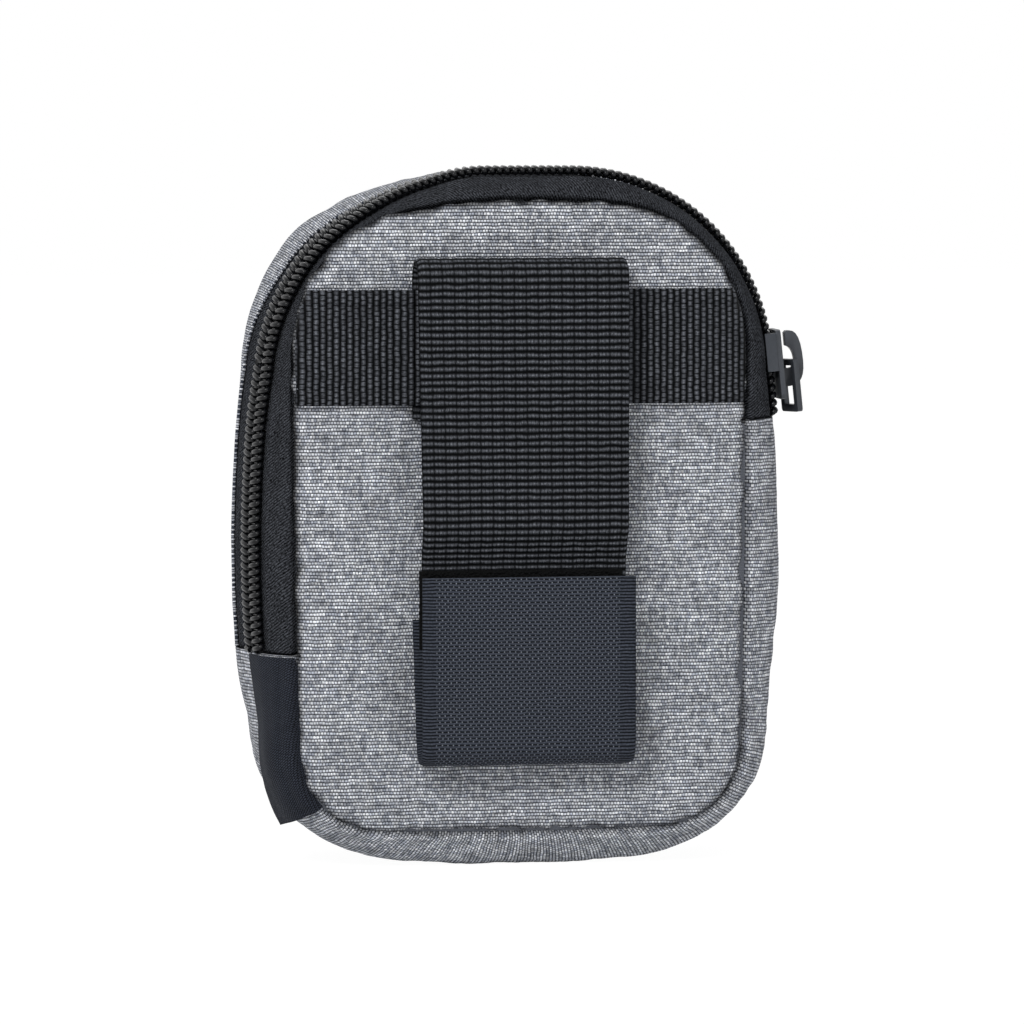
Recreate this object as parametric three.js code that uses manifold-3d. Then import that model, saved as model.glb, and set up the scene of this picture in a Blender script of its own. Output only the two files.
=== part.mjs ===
// A small zipped belt pouch of heather grey cloth, standing upright.
// The back panel faces -Y, the front panel faces +Y and +Z is up; the origin is the middle of the base.
// The zip runs over two round shoulders and a flat crown; its slider turns about the right shoulder's centre.
// All lengths are in millimetres and angles in degrees.
import * as THREE from "three";
import { mergeVertices } from "three/addons/utils/BufferGeometryUtils.js";
import Module from "manifold-3d";

const wasm = await Module();
wasm.setup();

// Cloth and foam
const CLOTH = 0.6;
const FOAM = 2.2;
const LINING = 0.4;
const LAYER_GAP = 0.1;
const GUSSET_LINING_GAP = 0.3;
const SEAM_GAP = 0.3;
const FOAM_SETBACK = 1.6;
const LINING_SETBACK = 1.2;

// Body
const BODY_DEPTH = 36;
const ZIP_CENTRE_HEIGHT = 87.3;
const ZIP_RADIUS = 34.7;
const CROWN_HALF_WIDTH = 10.1;
const HIGH_CENTRE_DROP = 10.1;
const HEEL_HEIGHT = 25;
const HEEL_RADIUS = 24.3;
const FOOT_INSET = 0.3;
const SWELL = 3.8;
const SWELL_HEIGHT = 54;
const GUSSET_PROUD = 0.7;
const GUSSET_ROUND = 7;
const LOW_CENTRE_HEIGHT = 30;
const FRONT_CROWN = 2;

// Back and front panels
const PANEL_SIDE_INSET = 4.4;
const PANEL_FOOT_INSET = 5.2;
const PANEL_TOP_INSET = 3.4;
const PANEL_BOTTOM = 6.5;
const CROWN_RADIUS = 100;
const SHOULDER_INSET = 9.7;
const PANEL_HEEL_RADIUS = 15;
const FRONT_PANEL_GROWTH = 0.4;

// Zip
const TAPE = 0.6;
const COIL_HEIGHT = 1.8;
const COIL_WIDTH = 2.6;
const COIL_PITCH = 1.5;
const COIL_NOTCH = 0.55;
const COIL_GAP = 0.8;
const COIL_CENTRE_DEPTH = 9;
const COIL_FULL_PHASE_SHARE = 0;
const COIL_HALF_PHASE_SHARE = 0.5;
const TAPE_MARGIN = 1;
const FRONT_TAPE_END_DEPTH = 6;
const GUSSET_LAP_DEPTH = 1;
const ZIP_RIGHT_END_ANGLE = 2.2;
const ZIP_LEFT_END_HEIGHT = 38;
const END_GAP = 0.3;

// Slider and puller
const SLIDER_REST_ANGLE = 5.7;
const SLIDER_SET_BACK = 2.65;
const SLIDER_LENGTH = 12.4;
const SLIDER_PLATE = 0.9;
const SLIDER_WIDTH = 8.4;
const SLIDER_TAIL_WIDTH = 7.4;
const SLIDER_CORNER = 1;
const SLIDER_CLEARANCE = 0.35;
const SLIDER_BED_CLEARANCE = 0.95;
const SLIDER_BED_WIDTH = 6.8;
const SLIDER_BED_LENGTH = 8.7;
const SLIDER_BED_INSET = 0.5;
const FLANGE_LENGTH = 6.8;
const FLANGE_TOP_INSET = 0.5;
const FLANGE_WALL = 0.85;
const FLANGE_LIFT = 0.3;
const SLIDER_FLANGE_INSET = 0.2;
const WEB_THICKNESS = 0.4;
const WEB_LENGTH = 3.2;
const WEB_INSET = 0.4;
const HOOK_WIDTH = 1.8;
const HOOK_REACH = 4.25;
const HOOK_THICKNESS = 1.5;
const HOOK_TOP = 5.7;
const HOOK_FOOT = 4.2;
const HOOK_ROOT = 1;
const HOOK_TIP_GAP = 1.3;
const HOOK_TIP_CORNER = 0.35;
const HOOK_TIP_FLAT = 0.9;
const HOOK_TIP_DEPTH = 2.65;
const PULLER_LENGTH = 9.4;
const PULLER_WIDTH = 6.4;
const PULLER_THICKNESS = 1;
const PULLER_BAR = 1.1;
const PULLER_RAIL = 1.3;
const PULLER_GAP = 0.3;
const PULLER_TWIST = 15;
const PULLER_TOP = 0.6;
const PULLER_CORNER = 0.7;

// Lid: the part of the front that folds open above the slider's resting place
const LID_RIGHT_ANGLE = 25.6;
const LID_LEFT_ANGLE = 165.8;
const LID_GAP = 0.4;

// Belt loop
const WEBBING = 1.3;
const CROSS_WEBBING_DROP = 36.6;
const CROSS_WEBBING_WIDTH = 20.3;
const CROSS_WEBBING_RAMP = 2.6;
const STRAP_WIDTH = 38;
const STRAP_ASIDE = 1.3;
const STRAP_TOP_INSET = 10.6;
const STRAP_STAND_OFF = 8.5;
const STRAP_LEG_LAP = 2.5;
const STRAP_END = 39.5;
const STRAP_STRAIGHT_END = 62;
const STRAP_TUCK_TOP = 54;
const STRAP_TUCK_STAND_OFF = 5.5;
const LOOP_PATCH = 1.4;
const LOOP_PATCH_WIDTH = 36;
const LOOP_PATCH_TOP = 53.2;
const HOOK_TAPE = 1.2;
const HOOK_TAPE_WIDTH = 38.5;
const HOOK_TAPE_FOLD = 18.6;
const HOOK_TAPE_TOP = 51.2;
const HOOK_TAPE_LEG_TOP = 44.2;
const HOOK_TAPE_STAND_OFF = 8.4;
const LEG_GAP = 0.15;
const FOLD_GAP = 0.1;

// Side tab
const TAB = 0.5;
const TAB_GAP = 0.3;
const TAB_END_ANGLE = 28;
const TAB_REACH_ANGLE = 84;

// Seam binding inside
const BINDING_WIDTH = 4.5;
const BINDING = 1.6;

// Fineness of the faceting
const ARC_FACETS = 16;
const RUN_STEP = 6.5;
const LID_EDGE_SEARCH = 6;
const LID_EDGE_STEPS = 30;
const FOLD_FACETS = 6;
const GUSSET_FACETS = 3;

// Anything far outside the part, for cuts
const OVERRUN = 200;
const NEARLY_STRAIGHT_SHARE = 0.001;
const SAME_SHARE = 0.01;

// Sizes that follow the line of the zip
const BODY_HALF_WIDTH = CROWN_HALF_WIDTH + ZIP_RADIUS;
const BODY_TOP = ZIP_CENTRE_HEIGHT + ZIP_RADIUS;
const HIGH_CENTRE_HEIGHT = ZIP_CENTRE_HEIGHT - HIGH_CENTRE_DROP;
const FOOT_HALF_WIDTH = BODY_HALF_WIDTH - FOOT_INSET;
const SWELL_HALF_WIDTH = BODY_HALF_WIDTH + SWELL;
const PANEL_HALF_WIDTH = BODY_HALF_WIDTH - PANEL_SIDE_INSET;
const PANEL_FOOT_HALF_WIDTH = BODY_HALF_WIDTH - PANEL_FOOT_INSET;
const PANEL_TOP = BODY_TOP - PANEL_TOP_INSET;
const SHOULDER_RADIUS = ZIP_RADIUS - SHOULDER_INSET;
const CROSS_WEBBING_BOTTOM = PANEL_TOP - CROSS_WEBBING_DROP;
const STRAP_TOP = PANEL_TOP - STRAP_TOP_INSET;
const STRAP_LEG_BOTTOM = CROSS_WEBBING_BOTTOM - STRAP_LEG_LAP;

const BACK = -BODY_DEPTH / 2;
const FRONT = BODY_DEPTH / 2;
const HALF_TURN = 180;
const QUARTER_TURN = 90;
const STRAIGHT_RUN = HIGH_CENTRE_HEIGHT - LOW_CENTRE_HEIGHT;
const DOME_RING_SHARES = [0.5, 0.84, 1];
const RIM_ONLY_SHARES = [1];

const rad = THREE.MathUtils.degToRad;

// Materials
const heather = new THREE.MeshStandardMaterial({ color: "#8d9099", roughness: 0.9, metalness: 0 });
const foamGrey = new THREE.MeshStandardMaterial({ color: "#55575c", roughness: 1, metalness: 0 });
const liningGrey = new THREE.MeshStandardMaterial({ color: "#6d7078", roughness: 0.8, metalness: 0 });
const tapeBlack = new THREE.MeshStandardMaterial({ color: "#26282b", roughness: 0.85, metalness: 0 });
const coilBlack = new THREE.MeshStandardMaterial({ color: "#1b1c1f", roughness: 0.35, metalness: 0 });
const webbingBlack = new THREE.MeshStandardMaterial({ color: "#222326", roughness: 0.75, metalness: 0 });
const hookCharcoal = new THREE.MeshStandardMaterial({ color: "#33363c", roughness: 0.8, metalness: 0 });
const tabCharcoal = new THREE.MeshStandardMaterial({ color: "#2a2d33", roughness: 0.8, metalness: 0 });
const sliderMetal = new THREE.MeshStandardMaterial({ color: "#3b3e44", roughness: 0.4, metalness: 0.8 });

// Outline of the body at the level of the zip tape, let out by grow on every side
function bodyOutline(grow) {
  const path = new THREE.Path();
  const heelX = FOOT_HALF_WIDTH - HEEL_RADIUS;
  const heel = HEEL_RADIUS + grow;
  const shoulder = ZIP_RADIUS + grow;
  const turn = rad(QUARTER_TURN);
  path.absarc(heelX, HEEL_HEIGHT, heel, -turn, 0, false);
  path.quadraticCurveTo(SWELL_HALF_WIDTH + grow, SWELL_HEIGHT, BODY_HALF_WIDTH + grow, ZIP_CENTRE_HEIGHT);
  path.absarc(CROWN_HALF_WIDTH, ZIP_CENTRE_HEIGHT, shoulder, 0, turn, false);
  path.absarc(-CROWN_HALF_WIDTH, ZIP_CENTRE_HEIGHT, shoulder, turn, turn * 2, false);
  path.quadraticCurveTo(-SWELL_HALF_WIDTH - grow, SWELL_HEIGHT, -heelX - heel, HEEL_HEIGHT);
  path.absarc(-heelX, HEEL_HEIGHT, heel, rad(HALF_TURN), rad(HALF_TURN + QUARTER_TURN), false);
  return path.getPoints(ARC_FACETS * 2);
}

// Outline of a panel, let out by grow: a flat crown, round shoulders and smaller round heels
function panelOutline(grow) {
  const path = new THREE.Path();
  const crownZ = PANEL_TOP - CROWN_RADIUS;
  const shoulderX = PANEL_HALF_WIDTH - SHOULDER_RADIUS;
  const shoulderZ = crownZ + Math.sqrt((CROWN_RADIUS - SHOULDER_RADIUS) ** 2 - shoulderX ** 2);
  const join = Math.atan2(shoulderZ - crownZ, shoulderX);
  const heelX = PANEL_FOOT_HALF_WIDTH - PANEL_HEEL_RADIUS;
  const heelZ = PANEL_BOTTOM + PANEL_HEEL_RADIUS;
  const heel = PANEL_HEEL_RADIUS + grow;
  const left = rad(HALF_TURN);
  path.absarc(heelX, heelZ, heel, rad(-QUARTER_TURN), 0, false);
  path.absarc(shoulderX, shoulderZ, SHOULDER_RADIUS + grow, 0, join, false);
  path.absarc(0, crownZ, CROWN_RADIUS + grow, join, left - join, false);
  path.absarc(-shoulderX, shoulderZ, SHOULDER_RADIUS + grow, left - join, left, false);
  path.absarc(-heelX, heelZ, heel, left, rad(HALF_TURN + QUARTER_TURN), false);
  return path.getPoints(ARC_FACETS);
}

// A place on the way round the body: over the top by angle, down the left side by height,
// round the bottom by angle and up the right side by height
function station(progress) {
  const round = HALF_TURN + STRAIGHT_RUN;
  const p = ((progress % (round * 2)) + round * 2) % (round * 2);
  if (p <= HALF_TURN) {
    return { z: HIGH_CENTRE_HEIGHT, dx: Math.cos(rad(p)), dz: Math.sin(rad(p)) };
  }
  if (p <= round) {
    return { z: HIGH_CENTRE_HEIGHT - (p - HALF_TURN), dx: -1, dz: 0 };
  }
  if (p <= round + HALF_TURN) {
    const turn = rad(p - STRAIGHT_RUN);
    return { z: LOW_CENTRE_HEIGHT, dx: Math.cos(turn), dz: Math.sin(turn) };
  }
  return { z: LOW_CENTRE_HEIGHT + (p - round - HALF_TURN), dx: 1, dz: 0 };
}

const WHOLE_RUN = (HALF_TURN + STRAIGHT_RUN) * 2;
const ZIP_LEFT_END = HALF_TURN + HIGH_CENTRE_HEIGHT - ZIP_LEFT_END_HEIGHT;
const ZIP_RIGHT_END = ZIP_RIGHT_END_ANGLE;

// Even divisions of the way from one progress to another, about RUN_STEP apart, and the stations there
function divisions(from, to) {
  const count = Math.max(2, Math.round((to - from) / RUN_STEP));
  return Array.from({ length: count + 1 }, (_, i) => from + ((to - from) * i) / count);
}

function run(from, to) {
  return divisions(from, to).map(station);
}

// How far out an outline lies from a station's centre
function reach(outline, place) {
  let best = 0;
  for (let i = 0; i < outline.length; i += 1) {
    const a = outline[i];
    const b = outline[(i + 1) % outline.length];
    const ax = a.x;
    const az = a.y - place.z;
    const ex = b.x - a.x;
    const ez = b.y - a.y;
    const cross = place.dx * ez - place.dz * ex;
    if (Math.abs(cross) < Number.EPSILON) {
      continue;
    }
    const along = (ax * ez - az * ex) / cross;
    const share = (ax * place.dz - az * place.dx) / cross;
    if (share >= 0 && share <= 1 && along > best) {
      best = along;
    }
  }
  return best;
}

// A solid from its corners and triangles, with the faces turned outwards
function geometryOf(corners, triangles) {
  let volume = 0;
  const [p, q, r] = [new THREE.Vector3(), new THREE.Vector3(), new THREE.Vector3()];
  for (const [a, b, c] of triangles) {
    p.fromArray(corners[a]);
    q.fromArray(corners[b]);
    r.fromArray(corners[c]);
    volume += p.dot(q.cross(r));
  }
  const faces = volume < 0 ? triangles.map(([a, b, c]) => [a, c, b]) : triangles;
  const geometry = new THREE.BufferGeometry();
  geometry.setAttribute("position", new THREE.Float32BufferAttribute(corners.flat(), 3));
  geometry.setIndex(faces.flat());
  return geometry;
}

// Quads between two rings of corners that start at here and next
function ringWall(here, next, size) {
  const triangles = [];
  for (let k = 0; k < size; k += 1) {
    const l = (k + 1) % size;
    triangles.push([here + k, here + l, next + l], [here + k, next + l, next + k]);
  }
  return triangles;
}

// The flat end of a loft, seen from above, listed forwards at its far end and backwards at its near end
function endCap(ring, offset, forward) {
  const flat = ring.map(([x, depth]) => new THREE.Vector2(x, depth));
  const turn = Math.sign(THREE.ShapeUtils.area(flat));
  return THREE.ShapeUtils.triangulateShape(flat, []).map(([a, b, c]) => {
    const same = Math.sign(THREE.ShapeUtils.area([flat[a], flat[b], flat[c]])) === turn;
    const [second, third] = same === forward ? [b, c] : [c, b];
    return [offset + a, offset + second, offset + third];
  });
}

// A skin over rings of corners, closed or with two ends
function skin(rings, closed = false) {
  const size = rings[0].length;
  const triangles = [];
  const last = closed ? rings.length : rings.length - 1;
  for (let i = 0; i < last; i += 1) {
    triangles.push(...ringWall(i * size, ((i + 1) % rings.length) * size, size));
  }
  if (!closed) {
    triangles.push(...endCap(rings[0], 0, false));
    triangles.push(...endCap(rings[last], last * size, true));
  }
  return geometryOf(rings.flat(), triangles);
}

// The corners of a section of reach and depth, stood up at a station
function ringAt(place, section) {
  return section.map(([out, depth]) => [place.dx * out, depth, place.z + place.dz * out]);
}

// A section carried round the body through stations
function loft(stations, sectionAt, closed = false) {
  return skin(stations.map((place, i) => ringAt(place, sectionAt(place, i))), closed);
}

// Where two lines, each a point and a direction, cross
function crossing([ax, ay], [adx, ady], [bx, by], [bdx, bdy]) {
  const cross = adx * bdy - ady * bdx;
  const along = ((bx - ax) * bdy - (by - ay) * bdx) / cross;
  return [ax + adx * along, ay + ady * along];
}

// A line of points moved sideways by distance; an end listed as a seam slides along the seam's wall
function besideLine(line, distance, startAtSeam = false, endAtSeam = false) {
  const steps = line.slice(1).map(([x, y], i) => [x - line[i][0], y - line[i][1]]);
  const moved = steps.map(([dx, dy], i) => {
    const length = Math.hypot(dx, dy);
    return [line[i][0] - (dy / length) * distance, line[i][1] + (dx / length) * distance];
  });
  const wall = [0, 1];
  return line.map((point, i) => {
    if (i === 0) {
      return startAtSeam ? crossing(moved[0], steps[0], point, wall) : moved[0];
    }
    const [dx, dy] = steps[i - 1];
    const far = [moved[i - 1][0] + dx, moved[i - 1][1] + dy];
    if (i === line.length - 1) {
      return endAtSeam ? crossing(far, steps[i - 1], point, wall) : far;
    }
    const [nx, ny] = steps[i];
    const straight = Math.abs(dx * ny - dy * nx) < Math.hypot(dx, dy) * Math.hypot(nx, ny) * NEARLY_STRAIGHT_SHARE;
    return straight ? moved[i] : crossing(moved[i - 1], steps[i - 1], moved[i], steps[i]);
  });
}

// The closed section between a line moved inwards by near and the same line moved inwards by far
function layer(line, near, far, startAtSeam, endAtSeam) {
  const outer = besideLine(line, near, startAtSeam, endAtSeam);
  const inner = besideLine(line, far, startAtSeam, endAtSeam);
  return [...outer, ...inner.reverse()];
}

// Joining and cutting
function manifoldOf(geometry) {
  const bare = geometry.clone();
  bare.deleteAttribute("normal");
  bare.deleteAttribute("uv");
  const merged = mergeVertices(bare);
  const vertProperties = new Float32Array(merged.attributes.position.array);
  const triVerts = new Uint32Array(merged.index.array);
  return new wasm.Manifold(new wasm.Mesh({ numProp: 3, vertProperties, triVerts }));
}

function geometryFrom(manifold) {
  const mesh = manifold.getMesh();
  const geometry = new THREE.BufferGeometry();
  geometry.setAttribute("position", new THREE.Float32BufferAttribute(mesh.vertProperties, 3));
  geometry.setIndex(Array.from(mesh.triVerts));
  return geometry;
}

function meet(first, second) {
  return geometryFrom(manifoldOf(first).intersect(manifoldOf(second)));
}

function join(first, ...others) {
  return geometryFrom(others.reduce((whole, other) => whole.add(manifoldOf(other)), manifoldOf(first)));
}

// The plane along which the lid parts from the rest, through the zip line at two angles
function onZip(angle) {
  const place = station(angle);
  const level = reach(bodyOutline(0), place);
  return new THREE.Vector2(place.dx * level, place.z + place.dz * level);
}

const LID_RIGHT = onZip(LID_RIGHT_ANGLE);
const LID_LEFT = onZip(LID_LEFT_ANGLE);
const LID_SLOPE = LID_RIGHT.clone().sub(LID_LEFT).angle();
const LID_MIDDLE = LID_RIGHT.clone().add(LID_LEFT).divideScalar(2);

// A block that fills everything on one side of the lid's plane
function sideOfLid(upper) {
  const block = new THREE.BoxGeometry(OVERRUN * 2, OVERRUN, OVERRUN);
  const shift = (OVERRUN + LID_GAP) / 2;
  block.translate(0, 0, upper ? shift : -shift);
  block.rotateY(-LID_SLOPE);
  block.translate(LID_MIDDLE.x, 0, LID_MIDDLE.y);
  return block;
}

function lidPart(geometry) {
  return meet(geometry, sideOfLid(true));
}

function fixedPart(geometry) {
  return meet(geometry, sideOfLid(false));
}

// Panels
function wholeRun() {
  return run(0, WHOLE_RUN).slice(0, -1);
}

// An outline's points at every station, so that neighbouring pieces have matching facets
function sampled(outline) {
  return wholeRun().map((place) => {
    const out = reach(outline, place);
    return new THREE.Vector2(place.dx * out, place.z + place.dz * out);
  });
}

// A panel built of rings drawn in towards its centre, which swells outwards by the crown
function dome(outline, depth, thickness, crown = FRONT_CROWN, shares = DOME_RING_SHARES) {
  const rim = sampled(outline);
  const centreZ = (PANEL_TOP + PANEL_BOTTOM) / 2;
  const drawnIn = (share, lift) =>
    rim.map((point) => [
      point.x * share,
      depth + lift + crown * (1 - share ** 2),
      centreZ + (point.y - centreZ) * share,
    ]);
  const outer = shares.map((share) => drawnIn(share, thickness));
  const inner = shares.slice().reverse().map((share) => drawnIn(share, 0));
  const rings = [...outer, ...inner];
  const corners = rings.flat();
  const size = rim.length;
  const first = corners.push([0, depth + thickness + crown, centreZ]) - 1;
  const last = corners.push([0, depth + crown, centreZ]) - 1;
  const triangles = [];
  for (let i = 0; i + 1 < rings.length; i += 1) {
    triangles.push(...ringWall(i * size, (i + 1) * size, size));
  }
  const end = (rings.length - 1) * size;
  for (let k = 0; k < size; k += 1) {
    const l = (k + 1) % size;
    triangles.push([k, first, l], [end + l, last, end + k]);
  }
  return geometryOf(corners, triangles);
}

function plate(outline, depth, thickness) {
  return dome(outline, depth, thickness, 0, RIM_ONLY_SHARES);
}

const BACK_FOAM_DEPTH = BACK + CLOTH + LAYER_GAP;
const BACK_LINING_DEPTH = BACK_FOAM_DEPTH + FOAM + LAYER_GAP;
const FRONT_FOAM_DEPTH = FRONT - CLOTH - LAYER_GAP - FOAM;
const FRONT_LINING_DEPTH = FRONT_FOAM_DEPTH - LAYER_GAP - LINING;

function backPanel() {
  return plate(panelOutline(0), BACK, CLOTH);
}

function backFoam() {
  return plate(panelOutline(-FOAM_SETBACK), BACK_FOAM_DEPTH, FOAM);
}

function backLining() {
  return plate(panelOutline(-LINING_SETBACK), BACK_LINING_DEPTH, LINING);
}

function frontPanel() {
  return dome(panelOutline(FRONT_PANEL_GROWTH), FRONT - CLOTH, CLOTH);
}

function frontFoam() {
  return dome(panelOutline(FRONT_PANEL_GROWTH - FOAM_SETBACK), FRONT_FOAM_DEPTH, FOAM);
}

function frontLining() {
  return dome(panelOutline(FRONT_PANEL_GROWTH - LINING_SETBACK), FRONT_LINING_DEPTH, LINING);
}

// Seam bindings: upright strips that wrap the seam allowances inside the two seams
function binding(growth, depth) {
  const outer = panelOutline(growth - LINING_SETBACK);
  const inner = panelOutline(growth - LINING_SETBACK - BINDING);
  return loft(
    wholeRun(),
    (place) => {
      const [far, near] = [reach(outer, place), reach(inner, place)];
      return [
        [near, depth],
        [far, depth],
        [far, depth + BINDING_WIDTH],
        [near, depth + BINDING_WIDTH],
      ];
    },
    true,
  );
}

function backBinding() {
  return binding(0, BACK_LINING_DEPTH + LINING + LAYER_GAP);
}

function frontBinding() {
  return binding(FRONT_PANEL_GROWTH, FRONT_LINING_DEPTH - LAYER_GAP - BINDING_WIDTH);
}

// Gussets: the outer line of a section, round from a seam at one panel to the belly of the body
const GUSSET_OUTLINE = bodyOutline(GUSSET_PROUD);
const BACK_SEAM = panelOutline(SEAM_GAP);
const FRONT_SEAM = panelOutline(FRONT_PANEL_GROWTH + SEAM_GAP);

function roundFromBack(place, upTo = QUARTER_TURN) {
  const seam = reach(BACK_SEAM, place);
  const level = reach(GUSSET_OUTLINE, place);
  const line = [];
  for (let k = 0; k <= GUSSET_FACETS; k += 1) {
    const turn = rad((upTo * k) / GUSSET_FACETS);
    line.push([seam + (level - seam) * Math.sin(turn), BACK + GUSSET_ROUND * (1 - Math.cos(turn))]);
  }
  return line;
}

function roundToFront(place) {
  const seam = reach(FRONT_SEAM, place);
  const level = reach(GUSSET_OUTLINE, place);
  const line = [];
  for (let k = GUSSET_FACETS; k >= 0; k -= 1) {
    const turn = rad((QUARTER_TURN * k) / GUSSET_FACETS);
    line.push([seam + (level - seam) * Math.sin(turn), FRONT - GUSSET_ROUND * (1 - Math.cos(turn))]);
  }
  return line;
}

function lowerGusset(near, far) {
  const stations = run(ZIP_LEFT_END, WHOLE_RUN + ZIP_RIGHT_END);
  return loft(stations, (place) =>
    layer([...roundFromBack(place), ...roundToFront(place)], near, far, true, true),
  );
}

function aboveLidPlane([x, , z]) {
  return (z - LID_MIDDLE.y) * Math.cos(LID_SLOPE) - (x - LID_MIDDLE.x) * Math.sin(LID_SLOPE);
}

// A ring whose corners each slide along the gusset until they reach the edge of the lid, or of what it parts from
function ringAtLidEdge(ringOf, angle, upper) {
  const wanted = (upper ? LID_GAP : -LID_GAP) / 2;
  const clear = (progress, k) => aboveLidPlane(ringOf(progress)[k]) > wanted;
  return ringOf(angle).map((corner, k) => {
    let [near, far] = [angle - LID_EDGE_SEARCH, angle + LID_EDGE_SEARCH];
    const rising = clear(far, k);
    for (let i = 0; i < LID_EDGE_STEPS; i += 1) {
      const middle = (near + far) / 2;
      [near, far] = clear(middle, k) === rising ? [near, middle] : [middle, far];
    }
    return ringOf(near)[k];
  });
}

// The front gusset between two places, with a slanting end wherever it meets the lid's edge
function frontGusset(near, far, startDepth, from, to, upper = false) {
  const ringOf = (progress) => {
    const place = station(progress);
    const round = roundToFront(place);
    return ringAt(place, layer([[round[0][0], startDepth], ...round], near, far, false, true));
  };
  const endRing = (angle) => {
    const meetsLid = angle === LID_RIGHT_ANGLE || angle === LID_LEFT_ANGLE;
    return meetsLid ? ringAtLidEdge(ringOf, angle, upper) : ringOf(angle);
  };
  const between = divisions(from, to).slice(1, -1).map(ringOf);
  return skin([endRing(from), ...between, endRing(to)]);
}

const GUSSET_LINING_NEAR = CLOTH + GUSSET_LINING_GAP;
const GUSSET_LINING_FAR = GUSSET_LINING_NEAR + LINING;

// Zip tapes: the back one slopes from its seam to the coil, the front one lies under the front gusset
const TAPE_OUTLINE = bodyOutline(0);
const COIL_BACK_DEPTH = -COIL_CENTRE_DEPTH - COIL_GAP / 2 - COIL_WIDTH;
const COIL_FRONT_DEPTH = -COIL_CENTRE_DEPTH + COIL_GAP / 2;

function backTape() {
  return loft(run(ZIP_RIGHT_END + END_GAP, ZIP_LEFT_END - END_GAP), (place) => {
    const level = reach(TAPE_OUTLINE, place);
    const line = [
      [reach(BACK_SEAM, place), BACK],
      [level, COIL_BACK_DEPTH - TAPE_MARGIN],
      [level, COIL_BACK_DEPTH + COIL_WIDTH],
    ];
    return layer(line, 0, TAPE, true, false);
  });
}

function frontTape(from, to) {
  return loft(run(from, to), (place) => {
    const level = reach(TAPE_OUTLINE, place);
    const line = [
      [level, COIL_FRONT_DEPTH],
      [level, FRONT_TAPE_END_DEPTH],
    ];
    return layer(line, 0, TAPE);
  });
}

// The progress that one pitch of the coil takes up at a place on the way round
function pitchAt(progress) {
  return COIL_PITCH / onZip(progress).distanceTo(onZip(progress + 1));
}

// Half of the coil: full-height loops with a lower, narrower waist between each two
function coilHalf(from, to, depth, phaseShare) {
  const places = [];
  let progress = from + phaseShare * pitchAt(from);
  while (progress < to) {
    places.push(station(progress));
    progress += pitchAt(progress) / 2;
  }
  if (places.length % 2 === 0) {
    places.pop();
  }
  return loft(places, (place, i) => {
    const low = reach(TAPE_OUTLINE, place) + LAYER_GAP;
    const waist = i % 2 ? COIL_NOTCH : 0;
    return [
      [low, depth + waist],
      [low, depth + COIL_WIDTH - waist],
      [low + COIL_HEIGHT - waist, depth + COIL_WIDTH - waist],
      [low + COIL_HEIGHT - waist, depth + waist],
    ];
  });
}

const LID_ZIP_RIGHT = LID_RIGHT_ANGLE + END_GAP;
const LID_ZIP_LEFT = LID_LEFT_ANGLE - END_GAP;

// Slider, in its own frame: X out from the tape, Y across the zip, Z up along it
function slab(shape, near, thickness) {
  const geometry = new THREE.ExtrudeGeometry(shape, {
    depth: thickness,
    bevelEnabled: false,
    curveSegments: FOLD_FACETS,
  });
  geometry.applyMatrix4(SHAPE_TO_SIDE);
  geometry.translate(near, 0, 0);
  return geometry;
}

// A rounded plate outline, width at the tail and at the mouth, across Y and along Z
function sliderPlateShape(mouthWidth, tailWidth, length) {
  const [m, t, l, c] = [mouthWidth / 2, tailWidth / 2, length / 2, SLIDER_CORNER];
  const shape = new THREE.Shape();
  shape.moveTo(-m + c, -l);
  shape.lineTo(m - c, -l);
  shape.quadraticCurveTo(m, -l, m, -l + c);
  shape.lineTo(t, l - c);
  shape.quadraticCurveTo(t, l, t - c, l);
  shape.lineTo(-t + c, l);
  shape.quadraticCurveTo(-t, l, -t, l - c);
  shape.lineTo(-m, -l + c);
  shape.quadraticCurveTo(-m, -l, -m + c, -l);
  return shape;
}

// Outlines across Y and Z, or Y and Z of the body, stand up along X
const SHAPE_TO_SIDE = new THREE.Matrix4().makeBasis(
  new THREE.Vector3(0, 1, 0),
  new THREE.Vector3(0, 0, 1),
  new THREE.Vector3(1, 0, 0),
);

const PLATE_NEAR = LAYER_GAP + COIL_HEIGHT + SLIDER_CLEARANCE;
const PLATE_FAR = PLATE_NEAR + SLIDER_PLATE;
const BED_FAR = -TAPE - SLIDER_BED_CLEARANCE;

function block(x0, x1, y0, y1, z0, z1) {
  const geometry = new THREE.BoxGeometry(x1 - x0, y1 - y0, z1 - z0);
  geometry.translate((x0 + x1) / 2, (y0 + y1) / 2, (z0 + z1) / 2);
  return geometry;
}

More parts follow.
